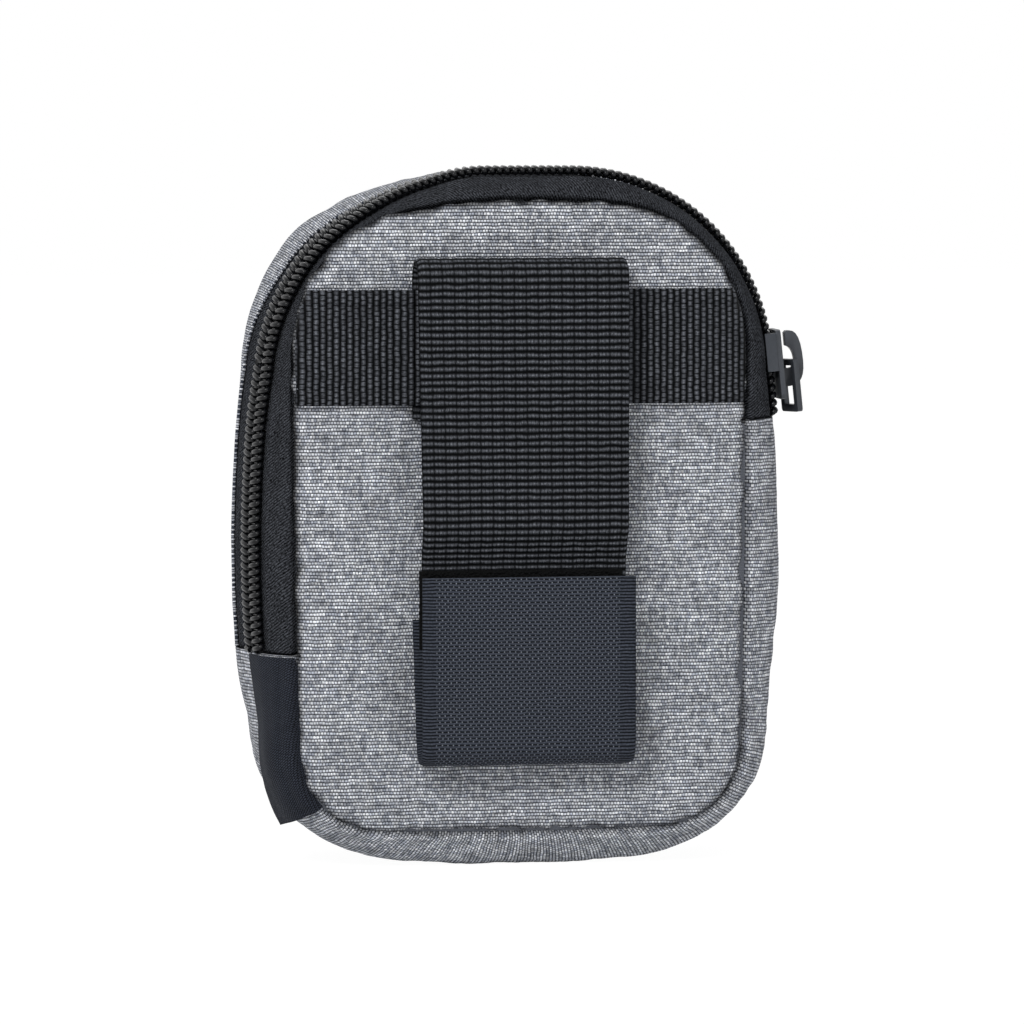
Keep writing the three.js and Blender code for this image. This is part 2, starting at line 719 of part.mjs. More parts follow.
// The bridge: a flat hook that leaves the plate at its foot and ends in a tip near the plate again
function sliderHook() {
  const far = PLATE_FAR + HOOK_REACH;
  const inner = far - HOOK_THICKNESS;
  const tipX = PLATE_FAR + HOOK_TIP_GAP;
  const root = PLATE_FAR - SLIDER_PLATE / 2;
  const tipFoot = HOOK_TOP - HOOK_TIP_DEPTH;
  const shape = new THREE.Shape();
  shape.moveTo(root, -HOOK_FOOT);
  shape.lineTo(PLATE_FAR + HOOK_THICKNESS, -HOOK_FOOT);
  shape.quadraticCurveTo(far, -HOOK_FOOT, far, 0);
  shape.quadraticCurveTo(far, HOOK_TOP, tipX + HOOK_TIP_FLAT, HOOK_TOP);
  shape.lineTo(tipX + HOOK_TIP_CORNER, HOOK_TOP);
  shape.lineTo(tipX, HOOK_TOP - HOOK_TIP_CORNER);
  shape.lineTo(tipX, tipFoot);
  shape.quadraticCurveTo(inner, tipFoot - HOOK_TIP_CORNER, inner, 0);
  shape.quadraticCurveTo(inner, -HOOK_ROOT, PLATE_FAR + HOOK_THICKNESS, -HOOK_ROOT);
  shape.lineTo(root, -HOOK_ROOT);
  const geometry = new THREE.ExtrudeGeometry(shape, {
    depth: HOOK_WIDTH,
    bevelEnabled: false,
    curveSegments: FOLD_FACETS,
  });
  geometry.rotateX(rad(QUARTER_TURN));
  geometry.translate(0, HOOK_WIDTH / 2, 0);
  return geometry;
}

function slider() {
  const half = SLIDER_LENGTH / 2;
  const plateShape = sliderPlateShape(SLIDER_WIDTH, SLIDER_TAIL_WIDTH + FLANGE_WALL, SLIDER_LENGTH);
  const bedShape = sliderPlateShape(SLIDER_BED_WIDTH, SLIDER_BED_WIDTH, SLIDER_BED_LENGTH);
  const bedTop = half - SLIDER_BED_INSET;
  const bedFoot = bedTop - SLIDER_BED_LENGTH;
  const sink = SLIDER_PLATE / 2;
  const wall = SLIDER_WIDTH / 2 - FLANGE_WALL;
  const high = half - FLANGE_TOP_INSET;
  const low = high - FLANGE_LENGTH;
  const webFoot = bedFoot + WEB_INSET;
  const web = block(
    BED_FAR - sink,
    PLATE_NEAR + sink,
    -WEB_THICKNESS / 2,
    WEB_THICKNESS / 2,
    webFoot,
    webFoot + WEB_LENGTH,
  );
  const flanges = [-1, 1].map((hand) => {
    const [a, b] = [hand * wall, hand * (wall + FLANGE_WALL - SLIDER_FLANGE_INSET)];
    return block(FLANGE_LIFT, PLATE_NEAR + sink, Math.min(a, b), Math.max(a, b), low, high);
  });
  const bed = slab(bedShape, BED_FAR - SLIDER_PLATE, SLIDER_PLATE);
  bed.translate(0, 0, (bedTop + bedFoot) / 2);
  return join(
    slab(plateShape, PLATE_NEAR, SLIDER_PLATE),
    bed,
    web,
    ...flanges,
    sliderHook(),
  );
}

// Puller: a flat frame whose top bar lies in the hook, hanging a little turned
const PULLER_SWAY = (PULLER_WIDTH / 2) * Math.sin(rad(PULLER_TWIST));
const PULLER_MIDDLE = PLATE_FAR + PULLER_GAP + PULLER_SWAY + PULLER_THICKNESS / 2;

function puller() {
  const [half, top, c] = [PULLER_WIDTH / 2, PULLER_TOP, PULLER_CORNER];
  const foot = top - PULLER_LENGTH;
  const shape = new THREE.Shape();
  shape.moveTo(-half + c, foot);
  shape.lineTo(half - c, foot);
  shape.quadraticCurveTo(half, foot, half, foot + c);
  shape.lineTo(half, top - c);
  shape.quadraticCurveTo(half, top, half - c, top);
  shape.lineTo(-half + c, top);
  shape.quadraticCurveTo(-half, top, -half, top - c);
  shape.lineTo(-half, foot + c);
  shape.quadraticCurveTo(-half, foot, -half + c, foot);
  const slot = new THREE.Path();
  const slotHalf = half - PULLER_RAIL;
  slot.moveTo(-slotHalf, foot + PULLER_RAIL);
  slot.lineTo(-slotHalf, top - PULLER_BAR);
  slot.lineTo(slotHalf, top - PULLER_BAR);
  slot.lineTo(slotHalf, foot + PULLER_RAIL);
  shape.holes.push(slot);
  const frame = slab(shape, -PULLER_THICKNESS / 2, PULLER_THICKNESS);
  frame.rotateZ(-rad(PULLER_TWIST));
  frame.translate(PULLER_MIDDLE, 0, 0);
  return frame;
}

// Webbing and tape: a centre line of stand-off and height, thickened and run across the pouch
function ribbon(path, thickness, width, aside = 0) {
  const points = path.getPoints(FOLD_FACETS);
  const distinct = points.filter((point, i) => i === 0 || point.distanceTo(points[i - 1]) > thickness * SAME_SHARE);
  const line = distinct.map((point) => [BACK - point.x, point.y]);
  const section = layer(line, -thickness / 2, thickness / 2);
  const shape = new THREE.Shape(section.map(([y, z]) => new THREE.Vector2(y, z)));
  const geometry = new THREE.ExtrudeGeometry(shape, { depth: width, bevelEnabled: false });
  geometry.applyMatrix4(SHAPE_TO_SIDE);
  geometry.translate(-width / 2 - aside, 0, 0);
  return geometry;
}

// The fold at the top of the strap, from its sewn leg to its free leg
const STRAP_LEG = LEG_GAP + WEBBING / 2;
const STRAP_OUT = STRAP_STAND_OFF - WEBBING / 2;
const STRAP_FOLD_RADIUS = (STRAP_OUT - STRAP_LEG) / 2;
const STRAP_FOLD_OUT = (STRAP_OUT + STRAP_LEG) / 2;
const STRAP_FOLD_HEIGHT = STRAP_TOP - WEBBING / 2 - STRAP_FOLD_RADIUS;
const STRAP_TUCK_OUT = STRAP_TUCK_STAND_OFF - WEBBING / 2;

function strapInnerLeg() {
  const path = new THREE.Path();
  const turn = rad(QUARTER_TURN);
  path.moveTo(STRAP_LEG - FOLD_GAP / 2, STRAP_LEG_BOTTOM);
  path.lineTo(STRAP_LEG - FOLD_GAP / 2, STRAP_FOLD_HEIGHT);
  path.absarc(STRAP_FOLD_OUT - FOLD_GAP / 2, STRAP_FOLD_HEIGHT, STRAP_FOLD_RADIUS, turn * 2, turn, true);
  return ribbon(path, WEBBING, STRAP_WIDTH, STRAP_ASIDE);
}

function beltStrap() {
  const path = new THREE.Path();
  const middle = (STRAP_STRAIGHT_END + STRAP_TUCK_TOP) / 2;
  path.absarc(STRAP_FOLD_OUT + FOLD_GAP / 2, STRAP_FOLD_HEIGHT, STRAP_FOLD_RADIUS, rad(QUARTER_TURN), 0, true);
  path.lineTo(STRAP_OUT + FOLD_GAP / 2, STRAP_STRAIGHT_END);
  path.bezierCurveTo(STRAP_OUT, middle, STRAP_TUCK_OUT, middle, STRAP_TUCK_OUT, STRAP_TUCK_TOP);
  path.lineTo(STRAP_TUCK_OUT, STRAP_END);
  return ribbon(path, WEBBING, STRAP_WIDTH, STRAP_ASIDE);
}

function loopPatch() {
  const path = new THREE.Path();
  const out = STRAP_TUCK_STAND_OFF + LAYER_GAP + LOOP_PATCH / 2;
  path.moveTo(out, LOOP_PATCH_TOP);
  path.lineTo(out, STRAP_END);
  return ribbon(path, LOOP_PATCH, LOOP_PATCH_WIDTH, STRAP_ASIDE);
}

// The hook tape folds at the bottom: one leg is sewn down, the other stands up over the strap's end
const TAPE_LEG = LEG_GAP + HOOK_TAPE / 2;
const TAPE_OUT = HOOK_TAPE_STAND_OFF - HOOK_TAPE / 2;
const TAPE_FOLD_RADIUS = (TAPE_OUT - TAPE_LEG) / 2;
const TAPE_FOLD_OUT = (TAPE_OUT + TAPE_LEG) / 2;
const TAPE_FOLD_HEIGHT = HOOK_TAPE_FOLD + HOOK_TAPE / 2 + TAPE_FOLD_RADIUS;

function hookTapeInnerLeg() {
  const path = new THREE.Path();
  const turn = rad(QUARTER_TURN);
  path.moveTo(TAPE_LEG - FOLD_GAP / 2, HOOK_TAPE_LEG_TOP);
  path.lineTo(TAPE_LEG - FOLD_GAP / 2, TAPE_FOLD_HEIGHT);
  path.absarc(TAPE_FOLD_OUT - FOLD_GAP / 2, TAPE_FOLD_HEIGHT, TAPE_FOLD_RADIUS, turn * 2, turn * 3, false);
  return ribbon(path, HOOK_TAPE, HOOK_TAPE_WIDTH);
}

function hookFlap() {
  const path = new THREE.Path();
  path.absarc(TAPE_FOLD_OUT + FOLD_GAP / 2, TAPE_FOLD_HEIGHT, TAPE_FOLD_RADIUS, -rad(QUARTER_TURN), 0, false);
  path.lineTo(TAPE_OUT + FOLD_GAP / 2, HOOK_TAPE_TOP);
  return ribbon(path, HOOK_TAPE, HOOK_TAPE_WIDTH);
}

// The cross webbing lies on the panel and steps up over the strap's sewn leg
function crossWebbing() {
  const [low, high] = [STRAP_LEG, STRAP_LEG + WEBBING + LEG_GAP];
  const step = STRAP_WIDTH / 2 + WEBBING / 2;
  const line = [
    [-OVERRUN, low],
    [-step - CROSS_WEBBING_RAMP, low],
    [-step, high],
    [step, high],
    [step + CROSS_WEBBING_RAMP, low],
    [OVERRUN, low],
  ].map(([x, out]) => [x - STRAP_ASIDE, BACK - out]);
  const section = layer(line, -WEBBING / 2, WEBBING / 2);
  const shape = new THREE.Shape(section.map(([x, y]) => new THREE.Vector2(x, y)));
  const band = new THREE.ExtrudeGeometry(shape, { depth: CROSS_WEBBING_WIDTH, bevelEnabled: false });
  band.translate(0, 0, CROSS_WEBBING_BOTTOM);
  return meet(band, plate(panelOutline(-SEAM_GAP), BACK - OVERRUN, OVERRUN));
}

// The woven tab leaves the left seam and lies back over the lower gusset
function sideTab() {
  const from = ZIP_LEFT_END + END_GAP;
  const to = HALF_TURN + STRAIGHT_RUN + TAB_END_ANGLE;
  return loft(run(from, to), (place) =>
    layer(roundFromBack(place, TAB_REACH_ANGLE), -TAB_GAP - TAB, -TAB_GAP, true, false),
  );
}

// Assembly
const pouch = new THREE.Group();

function add(parent, name, geometry, material) {
  const mesh = new THREE.Mesh(geometry, material);
  mesh.name = name;
  parent.add(mesh);
}

add(pouch, "back_panel", backPanel(), heather);
add(pouch, "back_foam", backFoam(), foamGrey);
add(pouch, "back_lining", backLining(), liningGrey);
add(pouch, "back_seam_binding", backBinding(), tapeBlack);
add(pouch, "lower_gusset", lowerGusset(0, CLOTH), heather);
add(pouch, "lower_gusset_lining", lowerGusset(GUSSET_LINING_NEAR, GUSSET_LINING_FAR), liningGrey);

add(pouch, "front_panel_lower", fixedPart(frontPanel()), heather);
add(pouch, "front_foam_lower", fixedPart(frontFoam()), foamGrey);
add(pouch, "front_lining_lower", fixedPart(frontLining()), liningGrey);
add(pouch, "front_seam_binding", fixedPart(frontBinding()), tapeBlack);
add(pouch, "lid_panel", lidPart(frontPanel()), heather);
add(pouch, "lid_foam", lidPart(frontFoam()), foamGrey);
add(pouch, "lid_lining", lidPart(frontLining()), liningGrey);
add(pouch, "lid_seam_binding", lidPart(frontBinding()), tapeBlack);

const [zipRight, zipLeft] = [ZIP_RIGHT_END + END_GAP, ZIP_LEFT_END - END_GAP];
const gusset = (...ends) => frontGusset(0, CLOTH, GUSSET_LAP_DEPTH, ...ends);
const gussetLining = (...ends) =>
  frontGusset(GUSSET_LINING_NEAR, GUSSET_LINING_FAR, FRONT_TAPE_END_DEPTH + END_GAP, ...ends);
add(pouch, "lid_gusset", gusset(LID_RIGHT_ANGLE, LID_LEFT_ANGLE, true), heather);
add(pouch, "lid_gusset_lining", gussetLining(LID_RIGHT_ANGLE, LID_LEFT_ANGLE, true), liningGrey);
add(pouch, "front_gusset_right", gusset(zipRight, LID_RIGHT_ANGLE), heather);
add(pouch, "front_gusset_left", gusset(LID_LEFT_ANGLE, zipLeft), heather);
add(pouch, "front_gusset_lining_right", gussetLining(zipRight, LID_RIGHT_ANGLE), liningGrey);
add(pouch, "front_gusset_lining_left", gussetLining(LID_LEFT_ANGLE, zipLeft), liningGrey);

const [besideLidRight, besideLidLeft] = [LID_RIGHT_ANGLE - END_GAP, LID_LEFT_ANGLE + END_GAP];
add(pouch, "zip_tape_back", backTape(), tapeBlack);
add(pouch, "zip_tape_lid", frontTape(LID_ZIP_RIGHT, LID_ZIP_LEFT), tapeBlack);
add(pouch, "zip_tape_front_right", frontTape(zipRight, besideLidRight), tapeBlack);
add(pouch, "zip_tape_front_left", frontTape(besideLidLeft, zipLeft), tapeBlack);
add(pouch, "zip_coil_back", coilHalf(zipRight, zipLeft, COIL_BACK_DEPTH, COIL_FULL_PHASE_SHARE), coilBlack);
const lidCoil = coilHalf(LID_ZIP_RIGHT, LID_ZIP_LEFT, COIL_FRONT_DEPTH, COIL_FULL_PHASE_SHARE);
add(pouch, "zip_coil_lid", lidCoil, coilBlack);
const rightCoil = coilHalf(zipRight, besideLidRight, COIL_FRONT_DEPTH, COIL_HALF_PHASE_SHARE);
add(pouch, "zip_coil_front_right", rightCoil, coilBlack);
const leftCoil = coilHalf(besideLidLeft, zipLeft, COIL_FRONT_DEPTH, COIL_FULL_PHASE_SHARE);
add(pouch, "zip_coil_front_left", leftCoil, coilBlack);

const sliderFrame = new THREE.Group();
const sliderTurn = rad(SLIDER_REST_ANGLE);
const sliderSeat = new THREE.Vector2(Math.cos(sliderTurn), Math.sin(sliderTurn)).multiplyScalar(ZIP_RADIUS);
sliderSeat.add(new THREE.Vector2(CROWN_HALF_WIDTH, ZIP_CENTRE_HEIGHT));
const setBack = new THREE.Vector2(Math.sin(sliderTurn), -Math.cos(sliderTurn)).multiplyScalar(SLIDER_SET_BACK);
sliderSeat.add(setBack);
sliderFrame.position.set(sliderSeat.x, -COIL_CENTRE_DEPTH, sliderSeat.y);
sliderFrame.rotation.y = -sliderTurn;
add(sliderFrame, "zip_slider", slider(), sliderMetal);
add(sliderFrame, "zip_puller", puller(), sliderMetal);
pouch.add(sliderFrame);

add(pouch, "cross_webbing", crossWebbing(), webbingBlack);
add(pouch, "strap_inner_leg", strapInnerLeg(), webbingBlack);
add(pouch, "belt_strap", beltStrap(), webbingBlack);
add(pouch, "strap_loop_patch", loopPatch(), webbingBlack);
add(pouch, "hook_tape_inner_leg", hookTapeInnerLeg(), hookCharcoal);
add(pouch, "hook_flap", hookFlap(), hookCharcoal);
add(pouch, "side_tab", sideTab(), tabCharcoal);

export default pouch;
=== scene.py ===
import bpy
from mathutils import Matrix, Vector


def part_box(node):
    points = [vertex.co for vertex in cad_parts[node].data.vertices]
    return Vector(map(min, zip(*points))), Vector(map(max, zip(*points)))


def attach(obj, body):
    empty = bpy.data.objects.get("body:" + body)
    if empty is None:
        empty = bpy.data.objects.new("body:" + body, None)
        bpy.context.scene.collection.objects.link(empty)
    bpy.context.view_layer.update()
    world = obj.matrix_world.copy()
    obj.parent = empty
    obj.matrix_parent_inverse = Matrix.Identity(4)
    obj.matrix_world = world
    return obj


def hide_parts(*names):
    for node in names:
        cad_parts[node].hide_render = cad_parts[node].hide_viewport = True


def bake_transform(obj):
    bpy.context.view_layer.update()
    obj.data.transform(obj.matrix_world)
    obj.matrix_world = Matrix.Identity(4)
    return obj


bl_info = {
    "name": "Belt pouch",
    "version": (1, 0, 0),
    "blender": (4, 5, 0),
    "location": "View3D > Sidebar > Pouch",
    "description": "Dresses a zipped belt pouch: heather cloth, coil zip, webbing loop and hook tape flap",
    "category": "Object",
}

import math

import bmesh
import bpy
import numpy as np
from bpy.props import FloatProperty, FloatVectorProperty, PointerProperty
from bpy.types import Operator, Panel, PropertyGroup
from mathutils import Matrix, Vector, noise

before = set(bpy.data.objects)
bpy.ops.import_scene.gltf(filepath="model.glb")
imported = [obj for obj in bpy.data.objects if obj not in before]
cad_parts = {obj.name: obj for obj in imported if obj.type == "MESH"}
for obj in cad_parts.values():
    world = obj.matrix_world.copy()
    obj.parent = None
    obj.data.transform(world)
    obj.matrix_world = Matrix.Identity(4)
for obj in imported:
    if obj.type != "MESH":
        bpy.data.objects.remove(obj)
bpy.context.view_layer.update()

MM = 0.001
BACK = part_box("back_panel")[0].y
FRONT = -BACK
HALF_TURN = 180.0
QUARTER_TURN = 90.0


def linear(hex_colour):
    """An sRGB hex colour as the linear red, green, blue and alpha that shaders take."""
    levels = [int(hex_colour[i:i + 2], 16) / 255 for i in (1, 3, 5)]
    low = [level / 12.92 for level in levels]
    high = [((level + 0.055) / 1.055) ** 2.4 for level in levels]
    return tuple(b if level > 0.04045 else a for level, a, b in zip(levels, low, high)) + (1.0,)


def length(name, description, millimetres):
    """A length property, given in millimetres and held in metres."""
    return FloatProperty(
        name=name, description=description, default=millimetres * MM, unit="LENGTH", subtype="DISTANCE"
    )


def number(name, description, value):
    """A plain number property."""
    return FloatProperty(name=name, description=description, default=value)


def colour(name, description, hex_colour):
    """A colour property, given as sRGB hex and held as linear values."""
    return FloatVectorProperty(
        name=name, description=description, default=linear(hex_colour), size=4, min=0, max=1, subtype="COLOR"
    )


class PouchBodySizes(PropertyGroup):
    """Sizes of the cloth body."""

    zip_centre: length("Zip centre", "Height of the centres of the zip's round shoulders", 87.3)
    zip_radius: length("Zip radius", "Radius of the zip's round shoulders at the tape", 34.7)
    crown_half_width: length("Crown half width", "Half of the flat top between the shoulders", 10.1)
    high_centre: length("High centre", "Height of the centre that the top is drawn round", 77.2)
    heel_height: length("Heel height", "Height of the centre of the round bottom corners", 25)
    heel_radius: length("Heel radius", "Radius of the round bottom corners", 24.3)
    foot_half_width: length("Foot half width", "Half of the width just above the bottom corners", 44.5)
    swell_half_width: length("Swell half width", "How far the curve of the sides is drawn out", 48.6)
    swell_height: length("Swell height", "Height at which the sides are drawn out", 54)
    gusset_proud: length("Gusset proud", "How far the gusset stands out past the zip tape", 0.7)
    gusset_round: length("Gusset round", "Depth of the round edge from the panel to the gusset", 7)
    low_centre: length("Low centre", "Height of the centre that the bottom is drawn round", 30)
    panel_half_width: length("Panel half width", "Half of the panel's width under the shoulders", 40.4)
    panel_foot_half_width: length("Panel foot half width", "Half of the panel's width at the heels", 39.6)
    panel_top: length("Panel top", "Height of the back panel's top edge", 118.6)
    panel_bottom: length("Panel bottom", "Height of the back panel's bottom edge", 6.5)
    crown_radius: length("Crown radius", "Radius of the flat curve at the panel's top", 100)
    shoulder_radius: length("Shoulder radius", "Radius of the panel's upper corners", 25)
    panel_heel_radius: length("Panel heel radius", "Radius of the panel's lower corners", 15)
    front_growth: length("Front growth", "How much larger the front panel is all round", 0.4)
    front_crown: length("Front crown", "How far the front panel swells in its middle", 2)
    cloth: length("Cloth", "Thickness of the outer cloth", 0.55)
    lining: length("Lining", "Thickness of the lining cloth", 0.3)
    foam: length("Foam", "Thickness of the foam", 2.2)
    seam_tuck: length("Seam tuck", "How far cloth is tucked in under a panel's edge", 0.7)
    back_crown: length("Back crown", "How far the back panel swells between its seams", 0.5)
    top_overlap: length("Top overlap", "How far the zip tape lies over the panel's top edge", 0.9)
    heel_lift: length("Heel lift", "How far the cloth beside the bottom's middle is drawn up", 1.1)
    drape: length("Drape", "Height of the soft folds in the back panel's cloth", 1.3)
    pucker: length("Pucker", "Height of the puckers along the seams", 1.1)
    fold_half_width: length("Fold half width", "Half of the stretch of cloth that bends as the lid opens", 5)


class PouchZipSizes(PropertyGroup):
    """Sizes of the zip."""

    tape: length("Tape", "Thickness of the zip tape", 0.5)
    coil_height: length("Coil height", "Height of the coil on the tape", 1.8)
    coil_width: length("Coil width", "Width of one half of the coil", 3.3)
    coil_wire: length("Coil wire", "Thickness of the coil's nylon wire", 1)
    coil_pitch: length("Coil pitch", "Distance from one loop of a coil to the next", 1.34)
    tape_margin: length("Tape margin", "Flat tape beside the coil", 1)
    front_end: length("Front end", "Depth at which the front tape goes under the gusset", 6)
    left_end: length("Left end", "Height of the zip's lower left end", 38)
    right_end_angle: number("Right end", "Angle of the zip's right end, in degrees", 2.2)
    lid_right: number("Lid right", "Angle at which the lid starts, in degrees", 25.6)
    lid_left: number("Lid left", "Angle at which the lid ends, in degrees", 165.8)
    lean: number("Lean", "Slope of the tape and coil on the left, as a share", 0.27)
    pivot: length("Lean pivot", "Distance of the line that the tape leans about behind the body's middle", 7)
    drawn_in: length("Drawn in", "How far the coil is drawn in on the left shoulder", 1.4)
    top_drop: length("Top drop", "How far the zip dips left of the strap", 1.2)
    gusset_near: length("Gusset near", "Depth at which the gusset starts on the left shoulder", -2.7)
    gusset_far: length("Gusset far", "Depth at which the gusset starts along the slider's path", 1)
    fullness: length("Fullness", "How far the gusset's cloth stands out beside the leaning tape", 0.4)


class PouchLoopSizes(PropertyGroup):
    """Sizes of the webbing and tapes on the back."""

    webbing: length("Webbing", "Thickness of the webbing", 1.3)
    strap_width: length("Strap width", "Width of the belt strap", 38)
    strap_aside: length("Strap aside", "How far the strap stands left of the middle", 1.3)
    strap_top: length("Strap top", "Height of the strap's fold", 108)
    strap_stand_off: length("Strap stand-off", "How far the strap's outer face stands off the panel", 8.5)
    strap_leg_bottom: length("Leg bottom", "Lower end of the strap's sewn leg", 79.5)
    strap_end: length("Strap end", "Lower end of the strap", 39.5)
    strap_straight_end: length("Straight end", "Height at which the strap starts to curve inwards", 62)
    tuck_top: length("Tuck top", "Height at which the curve inwards ends", 54)
    tuck_stand_off: length("Tuck stand-off", "Stand-off of the strap's end from the panel", 5.5)
    loop_patch: length("Loop patch", "Thickness of the looped pile on the strap's end", 1.4)
    loop_patch_width: length("Loop patch width", "Width of the looped pile", 36)
    hook_tape: length("Hook tape", "Thickness of the hook tape's woven base", 1.2)
    hook_width: length("Hook width", "Width of the hook tape", 38.5)
    hook_rib: length("Hook rib", "Distance between the hook tape's fine ribs", 0.58)
    hook_fold: length("Hook fold", "Height of the hook tape's fold", 18.6)
    hook_top: length("Hook top", "Upper edge of the flap", 52)
    hook_leg_top: length("Hook leg top", "Upper edge of the sewn leg", 44.2)
    hook_stand_off: length("Hook stand-off", "How far the flap's outer face stands off the panel", 8.4)
    leg_gap: length("Leg gap", "Gap between the panel and a sewn leg", 0.15)
    cross_bottom: length("Cross bottom", "Lower edge of the cross webbing", 82)
    cross_width: length("Cross width", "Width of the cross webbing", 20.3)
    cross_ramp: length("Cross ramp", "Length in which the cross webbing steps over the strap", 2.6)
    rib_pitch: length("Rib pitch", "Distance between the webbing's ribs", 1.19)
    rib_height: length("Rib height", "Height of the webbing's ribs", 0.28)
    rib_group: length("Rib group", "Width of one bundle of warp threads in the strap", 2.15)
    tab: length("Tab", "Thickness of the side tab", 0.5)
    tab_over: length("Tab over", "How far the tab reaches past the round edge", 3.5)
    tab_clear: length("Tab clear", "How far the tab's face stands off the gusset's", 0.65)


class PouchColours(PropertyGroup):
    """Colours of the finishes."""

    cloth_light: colour("Cloth light", "Lightest yarn of the heather cloth", "#F4F6FB")
    cloth_mid: colour("Cloth mid", "Middle yarn of the heather cloth", "#A9AEBA")
    # Partly the heather's own dark yarn and partly painted shade: the colour in the gaps between the yarns.
    cloth_dark: colour("Cloth dark", "Gaps and dark yarn of the heather cloth", "#3F444F")
    lining: colour("Lining", "Lining cloth", "#6A6E77")
    foam: colour("Foam", "Foam", "#55575C")
    # Painted shade: the colour in the gaps and grooves between the black and charcoal yarns, used for the
    # tapes, webbing and tab.
    gap: colour("Gap", "Gaps between black and charcoal yarns", "#050607")
    # Painted highlight on the zip tape's raised twill, broken up by the yarn's uneven grain.
    tape: colour("Zip tape", "Raised yarn of the zip tape", "#5E6168")
    coil: colour("Coil", "Nylon coil", "#101114")
    # Painted highlight: the colour that the tops of the black webbing's ribs take.
    webbing: colour("Webbing", "Raised yarn of the webbing", "#6C6F76")
    hook: colour("Hook tape", "Woven back of the hook tape", "#4A4F5A")
    # Painted highlight on the ties of the hooks on the back of their tape.
    hook_tie_highlight: colour("Hook dots", "Ties of the hooks on the back of their tape", "#8C919B")
    pile: colour("Pile", "Looped pile", "#0A0B0C")
    tab: colour("Tab", "Woven tab", "#3A3E48")
    metal: colour("Slider", "Lacquered slider", "#303338")
    floor: colour("Floor", "Floor and backdrop", "#F4F4F4")


class PouchStage(PropertyGroup):
    """The camera's place and the light."""

    azimuth: number("Azimuth", "Camera's turn round the pouch, in degrees", -9.5)
    elevation: number("Elevation", "Camera's height above the horizon, in degrees", 3.9)
    roll: number("Roll", "Camera's roll, in degrees", 0)
    lens: number("Lens", "Focal length in millimetres", 250)
    frame_width: length("Frame width", "Width that the picture spans at the strap", 181.2)
    frame_right: length("Frame right", "How far the picture's middle lies right of the origin", 1.2)
    frame_up: length("Frame up", "How far the picture's middle lies above the origin", 61.6)
    key_power: number("Key power", "Power of the main lamp, in watts", 7.1)
    fill_power: number("Fill power", "Power of the fill lamp, in watts", 1.6)
    world: number("World", "Strength of the even light from all round", 0.27)


# Shapes of the body
def ease(share):
    """A share eased in and out, and held between 0 and 1."""
    held = np.clip(share, 0, 1)
    return held * held * (3 - 2 * held)


def stretch(ways, start, rise, end, fall):
    """1 along a stretch of the way round, eased in over rise from start and out over fall from end."""
    return ease((ways - start) / rise) * (1 - ease((ways - end) / fall))


def arc(centre_x, centre_z, radius, start, end, count):
    """Points on an arc, with its angles in degrees."""
    turns = np.radians(np.linspace(start, end, count))
    return np.stack([centre_x + radius * np.cos(turns), centre_z + radius * np.sin(turns)], 1)


def quadratic(start, control, end, count):
    """Points on a quadratic curve."""
    share = np.linspace(0, 1, count)[:, None]
    start, control, end = (np.array(point) for point in (start, control, end))
    return start * (1 - share) ** 2 + control * 2 * share * (1 - share) + end * share**2


ARC_POINTS = 48
SHOULDER_START = 100
TINY = 1e-12


def body_outline(grow):
    """The body's outline at the level of the zip tape, let out by grow."""
    size = bpy.context.scene.pouch_body
    heel_x = size.foot_half_width - size.heel_radius
    heel = size.heel_radius + grow
    shoulder = size.zip_radius + grow
    side = size.crown_half_width + shoulder
    swell = size.swell_half_width + grow
    right = [
        arc(heel_x, size.heel_height, heel, -QUARTER_TURN, 0, ARC_POINTS),
        quadratic(
            (heel_x + heel, size.heel_height), (swell, size.swell_height), (side, size.zip_centre), ARC_POINTS
        )[1:],
        arc(size.crown_half_width, size.zip_centre, shoulder, 0, QUARTER_TURN, ARC_POINTS * 2)[1:],
    ]
    half = np.concatenate(right)
    return np.concatenate([half, half[::-1] * (-1, 1)])


def panel_outline(grow):
    """A panel's outline, let out by grow: a flat crown, round shoulders and smaller round heels."""
    size = bpy.context.scene.pouch_body
    crown_z = size.panel_top - size.crown_radius
    shoulder_x = size.panel_half_width - size.shoulder_radius
    shoulder_z = crown_z + math.sqrt((size.crown_radius - size.shoulder_radius) ** 2 - shoulder_x**2)
    join = math.degrees(math.atan2(shoulder_z - crown_z, shoulder_x))
    heel_x = size.panel_foot_half_width - size.panel_heel_radius
    heel_z = size.panel_bottom + size.panel_heel_radius
    heel = size.panel_heel_radius + grow
    shoulder = size.shoulder_radius + grow
    return np.concatenate([
        arc(heel_x, heel_z, heel, -QUARTER_TURN, 0, ARC_POINTS),
        arc(shoulder_x, shoulder_z, shoulder, 0, join, ARC_POINTS),
        arc(0, crown_z, size.crown_radius + grow, join, HALF_TURN - join, ARC_POINTS)[1:],
        arc(-shoulder_x, shoulder_z, shoulder, HALF_TURN - join, HALF_TURN, ARC_POINTS)[1:],
        arc(-heel_x, heel_z, heel, HALF_TURN, HALF_TURN + QUARTER_TURN, ARC_POINTS),
    ])


def straight_run():
    """The straight part of the way down each side, in millimetres."""
    size = bpy.context.scene.pouch_body
    return (size.high_centre - size.low_centre) / MM


def whole_way():
    """The whole way round: degrees over the top and round the bottom, millimetres down the sides."""
    return 2 * (HALF_TURN + straight_run())


